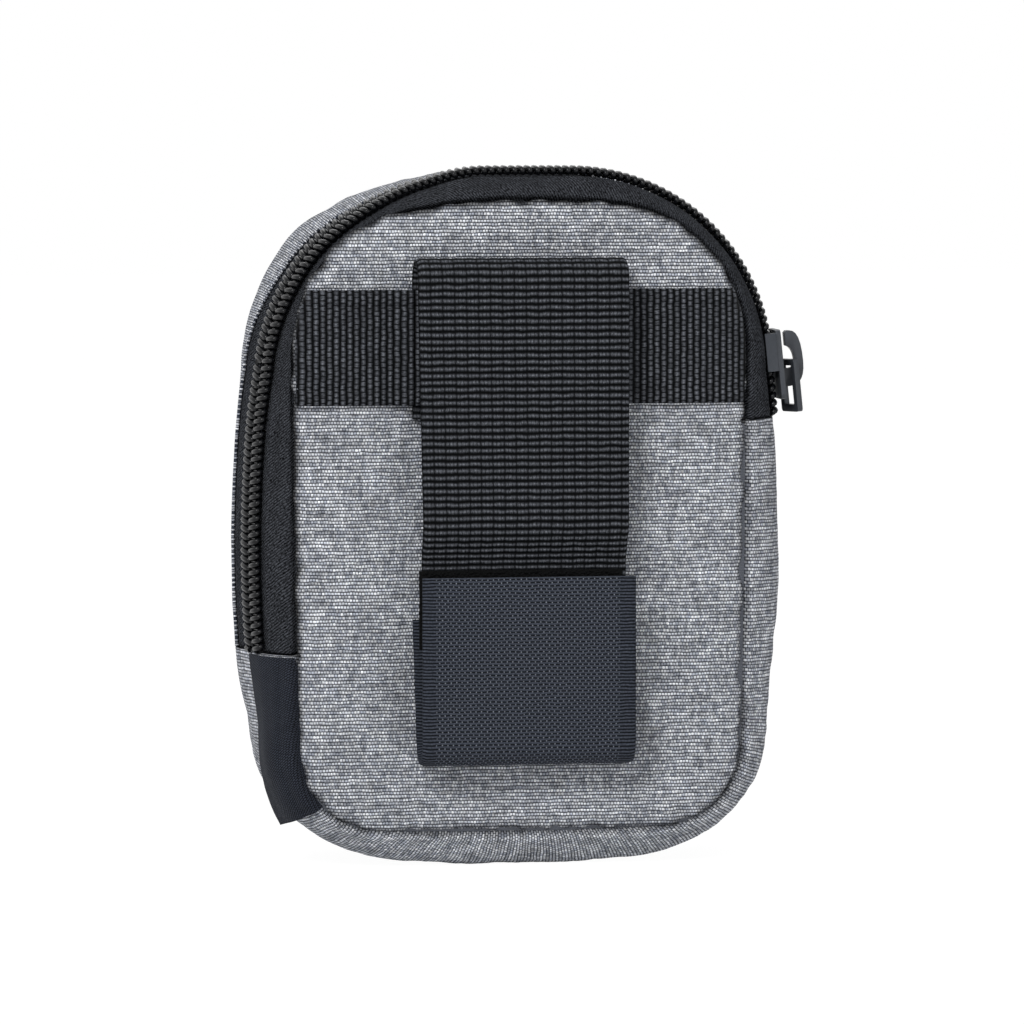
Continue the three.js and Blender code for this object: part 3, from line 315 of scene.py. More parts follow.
def stations(way):
    """Centres and directions at places on the way over the top, down the left, round the bottom and up."""
    size = bpy.context.scene.pouch_body
    side = straight_run()
    way = np.mod(way, whole_way())
    over = way <= HALF_TURN
    down = (way > HALF_TURN) & (way <= HALF_TURN + side)
    under = (way > HALF_TURN + side) & (way <= 2 * HALF_TURN + side)
    height = np.select(
        [over, down, under],
        [size.high_centre, size.high_centre - (way - HALF_TURN) * MM, size.low_centre],
        size.low_centre + (way - 2 * HALF_TURN - side) * MM,
    )
    turn = np.radians(np.select([over, down, under], [way, HALF_TURN, way - side], 2 * HALF_TURN))
    return height, np.cos(turn), np.sin(turn)


def seam_reach(grow, ways, places):
    """How far out the back panel's seam lies: the tape lies over its top edge."""
    size = bpy.context.scene.pouch_body
    out = reach(panel_outline(grow), places)
    way = np.mod(ways, whole_way())
    return out - size.top_overlap * stretch(way, 62, 22, 112, 24)


def reach(outline, places):
    """How far out an outline lies at each station."""
    height, dx, dz = (value[:, None] for value in places)
    start = outline[None, :, :]
    step = np.roll(outline, -1, 0)[None, :, :] - start
    x, z = start[..., 0], start[..., 1] - height
    cross = dx * step[..., 1] - dz * step[..., 0]
    safe = np.where(np.abs(cross) < TINY, 1.0, cross)
    along = (x * step[..., 1] - z * step[..., 0]) / safe
    share = (x * dz - z * dx) / safe
    hit = (np.abs(cross) >= TINY) & (share >= -1e-6) & (share <= 1 + 1e-6) & (along > 0)
    return np.where(hit, along, 0).max(1)


def body_level(places, grow=0.0):
    """How far out the body's outline lies at each station, as a column."""
    return reach(body_outline(grow), places)[:, None]


def stand_up(places, out, depth):
    """Points at stations: rows follow the stations and columns the section of reach and depth."""
    height, dx, dz = (value[:, None] for value in places)
    return np.stack([dx * out, depth * np.ones_like(out), height + dz * out], 2)


def rough(u, v, seed):
    """Smooth noise from -1 to 1 over two lengths."""
    flat = [noise.noise(Vector((a, b, seed))) for a, b in zip(u.ravel(), v.ravel())]
    return np.array(flat).reshape(u.shape)


# Meshes
def normals_of(points, closed):
    """Unit normals of a grid of points, whose rows may close on themselves."""
    along = np.roll(points, -1, 0) - np.roll(points, 1, 0)
    if not closed:
        along[0] = points[1] - points[0]
        along[-1] = points[-1] - points[-2]
    across = np.gradient(points, axis=1)
    normal = np.cross(along, across)
    return normal / np.maximum(np.linalg.norm(normal, axis=2, keepdims=True), TINY)


def lengths_of(points):
    """Distances in millimetres across the columns and along the rows of a grid, on its middle lines."""
    rows, cols = points.shape[:2]
    down = np.linalg.norm(np.diff(points[:, cols // 2], axis=0), axis=1)
    over = np.linalg.norm(np.diff(points[rows // 2], axis=0), axis=1)
    v = np.concatenate([[0], np.cumsum(down)]) / MM
    u = np.concatenate([[0], np.cumsum(over)]) / MM
    return np.tile(u, (rows, 1)), np.tile(v[:, None], (1, cols))


def mesh_object(name, points, faces, weave, material):
    """A smooth mesh object that remembers where each point lies in its cloth, in millimetres."""
    mesh = bpy.data.meshes.new(name)
    mesh.from_pydata(points.tolist(), [], faces)
    mesh.polygons.foreach_set("use_smooth", np.ones(len(mesh.polygons), bool))
    place = mesh.attributes.new("weave_mm", "FLOAT_VECTOR", "POINT")
    place.data.foreach_set("vector", np.ascontiguousarray(weave, np.float32).ravel())
    mesh.materials.append(material)
    mesh.update()
    solid = bmesh.new()
    solid.from_mesh(mesh)
    if solid.calc_volume(signed=True) < 0:
        mesh.flip_normals()
    solid.free()
    piece = bpy.data.objects.new(name, mesh)
    bpy.context.scene.collection.objects.link(piece)
    return piece


def grid_faces(rows, cols, closed_rows=False, closed_cols=False, offset=0):
    """Quads of a grid of points, listed so that they face along the rows crossed with the columns."""
    row = np.arange(rows if closed_rows else rows - 1)
    col = np.arange(cols if closed_cols else cols - 1)
    a, b = np.meshgrid(row, col, indexing="ij")
    c, d = (a + 1) % rows, (b + 1) % cols
    quads = np.stack([a * cols + b, c * cols + b, c * cols + d, a * cols + d], 2)
    return quads.reshape(-1, 4) + offset


def sheet_between(name, outer, inner, weave, material, closed=False):
    """A closed piece of cloth between an outer and an inner grid of points."""
    rows, cols = outer.shape[:2]
    count = rows * cols
    front = grid_faces(rows, cols, closed)
    back = grid_faces(rows, cols, closed, offset=count)[:, ::-1]
    index = np.arange(count).reshape(rows, cols)
    edges = [index[:, 0], index[:, -1][::-1]]
    if not closed:
        edges += [index[0][::-1], index[-1]]
    rims = []
    for edge in edges:
        start, end = (edge, np.roll(edge, -1)) if closed else (edge[:-1], edge[1:])
        rims.append(np.stack([end, start, start + count, end + count], 1))
    faces = np.concatenate([front, back, *rims])
    points = np.concatenate([outer.reshape(-1, 3), inner.reshape(-1, 3)])
    places = np.stack([*weave, np.zeros_like(weave[0])][:3], 2).reshape(-1, 3)
    return mesh_object(name, points, faces.tolist(), np.concatenate([places, places]), material)


def sheet(name, points, thickness, material, weave=None, closed=False):
    """A piece of cloth whose outer face is a grid of points, facing along rows crossed with columns."""
    inner = points - normals_of(points, closed) * thickness
    return sheet_between(name, points, inner, weave or lengths_of(points), material, closed)


# Materials
THREAD_SWAY = 0.4
WHITE = (1, 1, 1, 1)


def add_node(tree, kind, values=None):
    """Adds a node. Its values are settings, numbers for inputs, and nodes or sockets to link into inputs."""
    node = tree.nodes.new(kind)
    for name, value in (values or {}).items():
        if isinstance(value, bpy.types.Node):
            value = value.outputs[0]
        if isinstance(value, bpy.types.NodeSocket):
            tree.links.new(value, node.inputs[name])
        elif isinstance(name, str) and hasattr(node, name):
            setattr(node, name, value)
        else:
            node.inputs[name].default_value = value
    return node


def new_material(name):
    """A material, its tree, its surface shader and the place in the cloth, whose threads sway a little."""
    material = bpy.data.materials.new(name)
    material.use_nodes = True
    tree = material.node_tree
    place = add_node(tree, "ShaderNodeAttribute", {"attribute_name": "weave_mm"}).outputs["Vector"]
    sway = add_node(tree, "ShaderNodeTexNoise", {"Scale": 0.45, "Detail": 2.0, "Vector": place})
    middle = add_node(
        tree, "ShaderNodeVectorMath", {"operation": "SUBTRACT", 0: sway.outputs["Color"], 1: (0.5, 0.5, 0.5)}
    )
    aside = add_node(
        tree,
        "ShaderNodeVectorMath",
        {"operation": "MULTIPLY_ADD", 0: middle, 1: (THREAD_SWAY, THREAD_SWAY, 0), 2: place},
    )
    return material, tree, tree.nodes["Principled BSDF"], aside.outputs[0]


def finish_surface(tree, surface, settings, base_colour, height, bump_mm, strength=1.0):
    """Sets the shader's plain values and gives it a colour and a relief in real millimetres."""
    for name, value in settings.items():
        surface.inputs[name].default_value = value
    tree.links.new(base_colour, surface.inputs["Base Color"])
    relief = {"Strength": strength, "Distance": bump_mm * MM, "Height": height}
    bump = add_node(tree, "ShaderNodeBump", relief)
    tree.links.new(bump.outputs["Normal"], surface.inputs["Normal"])


def ripple(tree, place, axis, pitch, power):
    """Round ridges, one each pitch millimetres along an axis of the cloth: 0 between them and 1 on top."""
    parts = add_node(tree, "ShaderNodeSeparateXYZ", {0: place})
    turn = add_node(
        tree, "ShaderNodeMath", {"operation": "MULTIPLY", 0: parts.outputs[axis], 1: math.pi / pitch}
    )
    wave = add_node(tree, "ShaderNodeMath", {"operation": "SINE", 0: turn})
    height = add_node(tree, "ShaderNodeMath", {"operation": "ABSOLUTE", 0: wave})
    return add_node(tree, "ShaderNodeMath", {"operation": "POWER", 0: height, 1: power}).outputs[0]


def varied(tree, place, across, along, low, high, detail=2.0):
    """A value that wanders from low to high in patches, sized across and along the threads in millimetres."""
    stretched = add_node(tree, "ShaderNodeMapping", {"Scale": (1 / across, 1 / along, 1.0), "Vector": place})
    cloud = add_node(
        tree, "ShaderNodeTexNoise", {"Scale": 1.0, "Detail": detail, "Roughness": 0.6, "Vector": stretched}
    )
    spread = add_node(
        tree,
        "ShaderNodeMapRange",
        {"From Min": 0.32, "From Max": 0.68, "To Min": low, "To Max": high, "Value": cloud},
    )
    return spread.outputs[0]


def floats(tree, place, width, height, gap, light, mid, dark, slope=0.0):
    """Yarns that float over each other in staggered rows, at a slope in degrees: colour and relief."""
    turned = add_node(tree, "ShaderNodeMapping", {"Rotation": (0, 0, math.radians(slope)), "Vector": place})
    rows = add_node(
        tree,
        "ShaderNodeTexBrick",
        {
            "Scale": 1.0, "Brick Width": width, "Row Height": height, "Mortar Size": gap,
            "Mortar Smooth": 0.9, "Bias": 0.0, "Color1": light, "Color2": mid, "Mortar": dark,
            "Vector": turned,
        },
    )
    raised = add_node(tree, "ShaderNodeMath", {"operation": "SUBTRACT", 0: 1.0, 1: rows.outputs["Fac"]})
    return rows.outputs["Color"], raised.outputs[0]


def painted_light_by_height(tree, height, dark, light):
    """Painted light and shade on raised yarn: painted shade between the ridges and a painted highlight on top
    of them.
    """
    mixed = add_node(tree, "ShaderNodeMix", {"data_type": "RGBA", 6: dark, 7: light, "Factor": height})
    return mixed.outputs[2]


def shaded(tree, tint, *shades):
    """A colour made lighter and darker by each shade in turn."""
    for shade in shades:
        node = add_node(tree, "ShaderNodeVectorMath", {"operation": "SCALE", 0: tint, "Scale": shade})
        tint = node.outputs[0]
    return tint


def unlit_seam(tree, place):
    """The share of light that reaches cloth inside a seam."""
    parts = add_node(tree, "ShaderNodeSeparateXYZ", {0: place})
    return add_node(
        tree, "ShaderNodeMath", {"operation": "MULTIPLY_ADD", 0: parts.outputs["Z"], 1: -0.9, 2: 1.0}
    )


def heather_polyester():
    """Plain weave of mixed grey polyester yarns: light floats over dark gaps, with slubs both ways."""
    colours = bpy.context.scene.pouch_colours
    material, tree, surface, place = new_material("heather_plain_weave_polyester")
    row_height = 0.6
    yarns = (colours.cloth_light, colours.cloth_mid, colours.cloth_dark)
    tint, relief = floats(tree, place, 0.54, row_height, 0.09, *yarns)
    row = ripple(tree, place, 1, row_height, 0.7)
    # Painted light and shade on the rows of yarn: darker between the rows, lighter on their tops.
    painted_row_light_and_shade = add_node(tree, "ShaderNodeMath", {"operation": "MULTIPLY_ADD", 0: row, 1: 0.9, 2: 0.24})
    weft = varied(tree, place, 4.5, row_height, 0.62, 1.36)
    warp = varied(tree, place, 0.5, 6.0, 0.74, 1.2)
    cloud = varied(tree, place, 7.0, 9.0, 0.88, 1.14, 3.0)
    tint = shaded(tree, tint, painted_row_light_and_shade, weft, warp, cloud, unlit_seam(tree, place))
    height = add_node(tree, "ShaderNodeMath", {"operation": "MULTIPLY", 0: relief, 1: row})
    values = {"Roughness": 0.85, "Sheen Weight": 0.03, "Sheen Roughness": 0.5, "Specular IOR Level": 0.04}
    finish_surface(tree, surface, values, tint, height, 0.2, 0.9)
    return material


def lining_taffeta():
    """Smooth grey taffeta of fine filament; its threads are drawn 0.3 mm apart to show."""
    base = bpy.context.scene.pouch_colours.lining
    material, tree, surface, place = new_material("lining_taffeta")
    # The darker colour between the threads is painted shade.
    tint, relief = floats(tree, place, 0.3, 0.3, 0.06, base, base, linear("#3E4149"))
    tint = shaded(tree, tint, varied(tree, place, 0.5, 6.0, 0.85, 1.15))
    values = {"Roughness": 0.55, "Sheen Weight": 0.15, "Specular IOR Level": 0.35}
    finish_surface(tree, surface, values, tint, relief, 0.05)
    return material


def zip_tape_twill():
    """Black polyester zip tape: spun yarn whose uneven diagonals show as a speckled grain, with a painted
    highlight on the raised twill and painted shade between.
    """
    colours = bpy.context.scene.pouch_colours
    material, tree, surface, place = new_material("zip_tape_herringbone_polyester")
    turned = add_node(tree, "ShaderNodeMapping", {"Rotation": (0, 0, math.radians(34)), "Vector": place})
    twill = ripple(tree, turned.outputs[0], 1, 0.46, 0.9)
    grain = varied(tree, turned, 0.5, 0.28, -0.1, 1.5)
    height = add_node(tree, "ShaderNodeMath", {"operation": "MULTIPLY", 0: twill, 1: grain})
    tint = painted_light_by_height(tree, height, colours.gap, colours.tape)
    tint = shaded(tree, tint, varied(tree, place, 3.0, 5.0, 0.8, 1.2))
    values = {"Roughness": 0.85, "Sheen Weight": 0.01, "Sheen Roughness": 0.4, "Specular IOR Level": 0.02}
    finish_surface(tree, surface, values, tint, height, 0.3, 0.9)
    return material


def webbing_polypropylene(name, along, bars, power):
    """Black polypropylene webbing: ribs with a painted highlight on their tops, over grooves kept black with
    painted shade.
    """
    colours = bpy.context.scene.pouch_colours
    size = bpy.context.scene.pouch_loop
    material, tree, surface, place = new_material(name)
    rib = ripple(tree, place, along, size.rib_pitch / MM, power)
    height = add_node(tree, "ShaderNodeMath", {"operation": "MULTIPLY", 0: rib, 1: bars(tree, place)})
    fibre_size = (0.16, 0.5) if along == 1 else (0.5, 0.16)
    fibre = varied(tree, place, *fibre_size, 0.4, 1.6)
    tint = shaded(tree, painted_light_by_height(tree, height, colours.gap, colours.webbing), fibre)
    values = {"Roughness": 0.5, "Specular IOR Level": 0.03}
    finish_surface(tree, surface, values, tint, height, 0.25, 0.9)
    return material


def hook_tape_weave():
    """Woven nylon back of hook tape: fine ribs with painted shade between them, dots with a painted highlight
    where the hooks are tied in, plain selvages.
    """
    colours = bpy.context.scene.pouch_colours
    size = bpy.context.scene.pouch_loop
    material, tree, surface, place = new_material("hook_tape_woven_nylon")
    rib = ripple(tree, place, 1, size.hook_rib / MM, 1.6)
    parts = add_node(tree, "ShaderNodeSeparateXYZ", {0: place})
    waves = []
    for axis, pitch in (("X", 1.0), ("Y", size.hook_rib * 2 / MM)):
        turn = add_node(
            tree, "ShaderNodeMath", {"operation": "MULTIPLY", 0: parts.outputs[axis], 1: math.tau / pitch}
        )
        waves.append(add_node(tree, "ShaderNodeMath", {"operation": "COSINE", 0: turn}))
    lattice = add_node(tree, "ShaderNodeMath", {"operation": "SUBTRACT", 0: waves[0], 1: waves[1]})
    both = add_node(tree, "ShaderNodeMath", {"operation": "ABSOLUTE", 0: lattice})
    dots = add_node(
        tree,
        "ShaderNodeMapRange",
        {"From Min": 1.62, "From Max": 2.0, "To Min": 0, "To Max": 1, "Value": both},
    )
    fuzz = varied(tree, place, 0.35, 0.3, 0.6, 1.4, 3.0)
    half_width = size.hook_width / 2 / MM
    middle = add_node(tree, "ShaderNodeMath", {"operation": "SUBTRACT", 0: parts.outputs["X"], 1: half_width})
    aside = add_node(tree, "ShaderNodeMath", {"operation": "ABSOLUTE", 0: middle})
    selvage = {"From Min": half_width - 3.2, "From Max": half_width - 2.8, "To Min": 1, "To Max": 0}
    field = add_node(tree, "ShaderNodeMapRange", {**selvage, "Value": aside})
    plain = painted_light_by_height(tree, rib, colours.gap, colours.hook)
    shown = add_node(tree, "ShaderNodeMath", {"operation": "MULTIPLY", 0: field, 1: dots})
    dotted = painted_light_by_height(tree, shown, plain, colours.hook_tie_highlight)
    height = add_node(tree, "ShaderNodeMath", {"operation": "MAXIMUM", 0: rib, 1: shown})
    values = {"Roughness": 0.7, "Sheen Weight": 0.02, "Specular IOR Level": 0.03}
    finish_surface(tree, surface, values, shaded(tree, dotted, fuzz), height, 0.18, 0.8)
    return material


def tab_twill():
    """Woven label tape: a tight dark polyester twill whose fine diagonal shows as slanting dots."""
    colours = bpy.context.scene.pouch_colours
    material, tree, surface, place = new_material("tab_polyester_twill")
    # The gap colour between the floats is painted shade.
    tint, relief = floats(tree, place, 0.62, 0.36, 0.1, colours.tab, colours.tab, colours.gap, 32.0)
    patches = ((0.4, 0.4, 0.8, 1.25), (6.0, 9.0, 0.9, 1.1))
    tint = shaded(tree, tint, *[varied(tree, place, *patch) for patch in patches])
    values = {"Roughness": 0.65, "Sheen Weight": 0.02, "Specular IOR Level": 0.04}
    finish_surface(tree, surface, values, tint, relief, 0.1, 0.8)
    return material


def soft_lump(name, base, scale_mm, bump_mm, roughness):
    """A surface of small lumps of one colour, for foam cells or looped pile, with painted shade between the
    lumps and a painted highlight on their tops.
    """
    material, tree, surface, _ = new_material(name)
    place = add_node(tree, "ShaderNodeTexCoord").outputs["Object"]
    cells = add_node(tree, "ShaderNodeTexVoronoi", {"Scale": 1 / (scale_mm * MM), "Vector": place})
    # Painted shade: darker between the lumps, lighter on their tops.
    limits = {"From Max": 0.8, "To Min": 1.2, "To Max": 0.5}
    shade = add_node(tree, "ShaderNodeMapRange", {**limits, "Value": cells})
    lift = add_node(tree, "ShaderNodeMath", {"operation": "SUBTRACT", 0: 1.0, 1: cells})
    values = {"Roughness": roughness, "Specular IOR Level": 0.1}
    finish_surface(tree, surface, values, shaded(tree, base[:3], shade), lift, bump_mm)
    return material


def foam_polyurethane():
    """Open-cell polyurethane foam, matt and finely pitted."""
    return soft_lump("foam_polyurethane", bpy.context.scene.pouch_colours.foam, 0.6, 0.1, 0.9)


def pile_nylon():
    """Looped nylon pile: soft black lumps about half a millimetre across."""
    return soft_lump("pile_looped_nylon", bpy.context.scene.pouch_colours.pile, 0.5, 0.5, 0.8)


def coil_nylon():
    """Drawn nylon 6.6 wire, glossy, so that every loop carries a small bright line."""
    base = bpy.context.scene.pouch_colours.coil
    material, tree, surface, place = new_material("coil_drawn_nylon")
    scuffs = add_node(tree, "ShaderNodeTexNoise", {"Scale": 0.9, "Detail": 2.0, "Vector": place})
    shade = add_node(tree, "ShaderNodeMapRange", {"To Min": 0.7, "To Max": 1.4, "Value": scuffs})
    values = {"Roughness": 0.24, "IOR": 1.53, "Specular IOR Level": 0.22}
    finish_surface(tree, surface, values, shaded(tree, base[:3], shade), scuffs, 0.02, 0.4)
    return material


def slider_lacquer():
    """Die-cast zinc under satin black lacquer: faint orange peel, and paler on its sharp edges."""
    base = bpy.context.scene.pouch_colours.metal
    material, tree, surface, _ = new_material("slider_lacquered_zinc")
    place = add_node(tree, "ShaderNodeTexCoord").outputs["Object"]
    peel = add_node(tree, "ShaderNodeTexNoise", {"Scale": 1 / (0.5 * MM), "Detail": 3.0, "Vector": place})
    # The colour is made paler on the sharp edges, where pointiness is high.
    form = add_node(tree, "ShaderNodeNewGeometry").outputs["Pointiness"]
    edge = add_node(
        tree,
        "ShaderNodeMapRange",
        {"From Min": 0.5, "From Max": 0.6, "To Min": 1.0, "To Max": 1.9, "Value": form},
    )
    shade = add_node(tree, "ShaderNodeMapRange", {"To Min": 0.85, "To Max": 1.15, "Value": peel})
    peel_and_paler_edges = add_node(tree, "ShaderNodeMath", {"operation": "MULTIPLY", 0: shade, 1: edge})
    values = {"Roughness": 0.42, "Metallic": 0.2, "Specular IOR Level": 0.4}
    finish_surface(tree, surface, values, shaded(tree, base[:3], peel_and_paler_edges), peel, 0.02, 0.5)
    return material


def strap_bars(tree, place):
    """Bars of three lumps each, in line above each other, that part the strap's ribs."""
    group = bpy.context.scene.pouch_loop.rib_group / MM
    bundle = ripple(tree, place, 0, group, 0.4)
    lump = ripple(tree, place, 0, group / 3, 0.8)
    uneven = add_node(tree, "ShaderNodeMath", {"operation": "MULTIPLY_ADD", 0: lump, 1: 0.65, 2: 0.35})
    return add_node(tree, "ShaderNodeMath", {"operation": "MULTIPLY", 0: bundle, 1: uneven})


def cross_lumps(tree, place):
    """Lumps that are staggered from each of the cross webbing's ribs to the next."""
    rows = bpy.context.scene.pouch_loop.rib_pitch / MM
    greys = (WHITE, (0.5, 0.5, 0.5, 1), (0.1, 0.1, 0.1, 1))
    return floats(tree, place, 0.95, rows, 0.22, *greys, QUARTER_TURN)[0]


def strap_webbing():
    """The strap's webbing, whose ribs run across its length."""
    return webbing_polypropylene("strap_webbing_polypropylene", 1, strap_bars, 3.6)


def cross_band_webbing():
    """The cross webbing, whose ribs stand upright on the pouch."""
    return webbing_polypropylene("cross_webbing_polypropylene", 0, cross_lumps, 2.2)


MATERIALS = {}


def finish_of(maker):
    """One material for each finish, made when it is first asked for."""
    if maker not in MATERIALS:
        MATERIALS[maker] = maker()
    return MATERIALS[maker]


# How pieces take the place of the solid ones
def seam_shade(distance):
    """How deep in a seam cloth lies, from 0 beside it to 1 inside, by its distance in millimetres."""
    return np.exp(-((distance / 0.8) ** 2))


def stand_for(piece, body, slot, *nodes):
    """The piece moves with a body and is shown in place of the solid nodes."""
    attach(piece, body)
    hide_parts(*nodes)
    return piece


def lid_fold():
    """A point on the line that the lid folds along, and the upward direction square to that line."""
    zips = bpy.context.scene.pouch_zip
    places = stations(np.array([zips.lid_right, zips.lid_left]))
    level = body_level(places)
    right, left = (Vector(row[0]) for row in stand_up(places, level, FRONT))
    along = (right - left).normalized()
    return (right + left) / 2, Vector((-along.z, 0, along.x))


def bend_with_lid(piece, slot, *nodes, half_width=None):
    """The piece's place is baked into its mesh and the solid nodes are hidden; the piece is one cloth from
    the fixed front to the lid, and it is not bent at the fold between them.
    """
    middle, up = lid_fold()
    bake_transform(piece)
    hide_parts(*nodes)
    return piece


# Panels
PANEL_GRID = 150
EDGE_ROLL = 1.8 * MM
EDGE_ROLL_WIDTH = 1.0 * MM
EDGE_WAVE = 0.8 * MM
EDGE_OVERLAP = 0.15 * MM
CROWN_RISE = 8 * MM
LOOP_HALF_WIDTH = 19 * MM
BINDING_WIDTH = 1.6 * MM
BINDING_TAPE = 0.3 * MM
LINING_WRINKLE = 0.15 * MM
WEAVE_START = 60


def panel_grid(grow, count=PANEL_GRID, front=False):
    """A grid drawn out to fill a panel: x, z, distance from the rim, way round and share of the way out."""
    size = bpy.context.scene.pouch_body
    steps = np.linspace(-1, 1, count)
    a, b = np.meshgrid(steps, steps, indexing="ij")
    share = np.maximum(np.abs(a), np.abs(b))
    turn = np.arctan2(b, a) / math.pi
    side = straight_run()
    way = turn * (HALF_TURN + side) - side / 2
    places = stations(way.ravel())
    height, dx, dz = places
    out = reach(panel_outline(grow), places) if front else seam_reach(grow, way.ravel(), places)
    out = out.reshape(a.shape)
    out = out + EDGE_WAVE * rough(way / 4.6, 0 * way, 23.0) + EDGE_OVERLAP
    rim_x = dx.reshape(a.shape) * out
    rim_z = height.reshape(a.shape) + dz.reshape(a.shape) * out
    middle = (size.panel_top + size.panel_bottom) / 2
    even = 1 - (1 - share) ** 1.2
    distance = np.hypot(rim_x, rim_z - middle) * (1 - even)
    return rim_x * even, middle + (rim_z - middle) * even, distance, way, even


def edge_lift(distance, way, seed):
    """How far a panel's cloth stands out near its seam: it rolls in at the edge and puckers along it."""
    size = bpy.context.scene.pouch_body
    depth = distance / MM
    waves = rough(way / 5.0, depth / 16, seed) + 0.5 * rough(way / 2.4, depth / 9, seed + 3)
    fade = np.exp(-depth / 8.0) * (1 - np.exp(-depth / 0.9))
    tight = rough(way / 22.0, np.zeros_like(way), seed + 7)
    puckers = np.maximum(waves * fade * (0.9 + 0.7 * tight), -0.45)
    return size.pucker * puckers - EDGE_ROLL * np.exp(-distance / EDGE_ROLL_WIDTH)


def beside_loop(x):
    """0 under the belt loop, where the panel lies flat, and up to 1 beside it."""
    return 1 - np.exp(-np.maximum(0, np.abs(x) - LOOP_HALF_WIDTH) / (4 * MM))


def back_lift(x, z, distance, way):
    """How far the back panel's cloth stands out behind its flat; it lies flat under the belt loop."""
    size = bpy.context.scene.pouch_body
    loop = bpy.context.scene.pouch_loop
    free = 1 - np.exp(-distance / CROWN_RISE)
    soft = rough(x / (13 * MM), z / (21 * MM), 5.0)
    crease = 0.4 - 1.6 * np.abs(rough((x + 0.5 * z) / (10 * MM), (z - 0.5 * x) / (26 * MM), 15.0))
    half_band = loop.cross_width / 2
    unpressed = ease((np.abs(z - loop.cross_bottom - half_band) - half_band) / (7 * MM))
    drape = size.drape * (soft + crease) * free * unpressed
    beside = np.maximum(beside_loop(x), ease((16 * MM - z) / (5 * MM)))
    return (size.back_crown * free + drape) * beside + edge_lift(distance, way, 11.0) * (0.3 + 0.7 * beside)


def layer_depths(node):
    """How far inside the panel's face a back layer starts and ends."""
    low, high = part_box(node)
    return low.y - BACK, high.y - BACK


def inset_of(node):
    """How far a back layer's edge lies inside the panel's."""
    return bpy.context.scene.pouch_body.panel_half_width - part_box(node)[1].x


def flat_layer(name, grow, near, far, material, front=False, wrinkle=0.0):
    """A pad with rounded edges behind a panel: flat at the back, crowned and mirrored at the front."""
    x, z, distance, _, share = panel_grid(grow, PANEL_GRID // 2, front)
    half = (far - near) / 2
    held = np.clip(distance / half, 0, 1)
    edge = np.sqrt(held * (2 - held))
    creased = wrinkle * rough(x / (12 * MM), z / (18 * MM), 8.0) * np.clip(distance / (5 * MM), 0, 1)
    middle = (near + far) / 2 + creased
    if front:
        crown = bpy.context.scene.pouch_body.front_crown * (1 - share**2)
        x, y, out = x[::-1], FRONT + crown - middle, half
    else:
        y, out = BACK + middle, -half
    outer, inner = (np.stack([x, y + side * edge, z], 2) for side in (out, -out))
    return sheet_between(name, outer, inner, (x / MM + WEAVE_START, z / MM), material)


def binding(name, outline, inset, depth, front=False):
    """Tape folded over a seam allowance all the way round a panel."""
    low, high = depth
    half = (high - low) / 2
    ways = np.linspace(0, whole_way(), 300, endpoint=False)[::-1]
    places = stations(ways)
    outer, inner = (reach(edge, places)[:, None] for edge in (outline, inset))
    middle = (outer + inner) / 2
    thick = (outer - inner) / 2
    turns = np.radians(np.linspace(-80, 260, 18))[None, :]
    squared = np.sign(np.cos(turns)) * np.abs(np.cos(turns)) ** 0.6
    out = middle + thick * squared
    along = (low + high) / 2 + half * np.sin(turns) * (1 if front else -1)
    points = stand_up(places, out, along + 0 * out)
    thickness = BINDING_TAPE if front else -BINDING_TAPE
    return sheet(name, points, thickness, finish_of(zip_tape_twill), closed=True)


class PouchBackPanel(Operator):
    """Cloth, foam, lining and seam binding of the flat back, with the puckers along its seams"""

    bl_idname = "pouch.back_panel"
    bl_label = "Back panel"

    def execute(self, context):
        size = context.scene.pouch_body
        x, z, distance, way, _ = panel_grid(0)
        outer = np.stack([x, BACK - back_lift(x, z, distance, way), z], 2)
        weave = (x / MM + WEAVE_START, z / MM, seam_shade(distance / MM))
        cloth = sheet("back_cloth", outer, size.cloth, finish_of(heather_polyester), weave)
        stand_for(cloth, "pouch", "grey_cloth", "back_panel")
        foam = finish_of(foam_polyurethane)
        pad = flat_layer("back_pad", -inset_of("back_foam"), *layer_depths("back_foam"), foam)
        stand_for(pad, "pouch", "foam", "back_foam")
        inset = inset_of("back_lining")
        taffeta = finish_of(lining_taffeta)
        depths = layer_depths("back_lining")
        lining = flat_layer("back_lining_cloth", -inset, *depths, taffeta, wrinkle=LINING_WRINKLE)
        stand_for(lining, "pouch", "lining", "back_lining")
        low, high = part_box("back_seam_binding")
        edges = panel_outline(-inset), panel_outline(-inset - BINDING_WIDTH)
        tape = binding("back_binding_tape", *edges, (low.y + 0.5 * MM, high.y))
        stand_for(tape, "pouch", "zip_tape", "back_seam_binding")
        return {"FINISHED"}


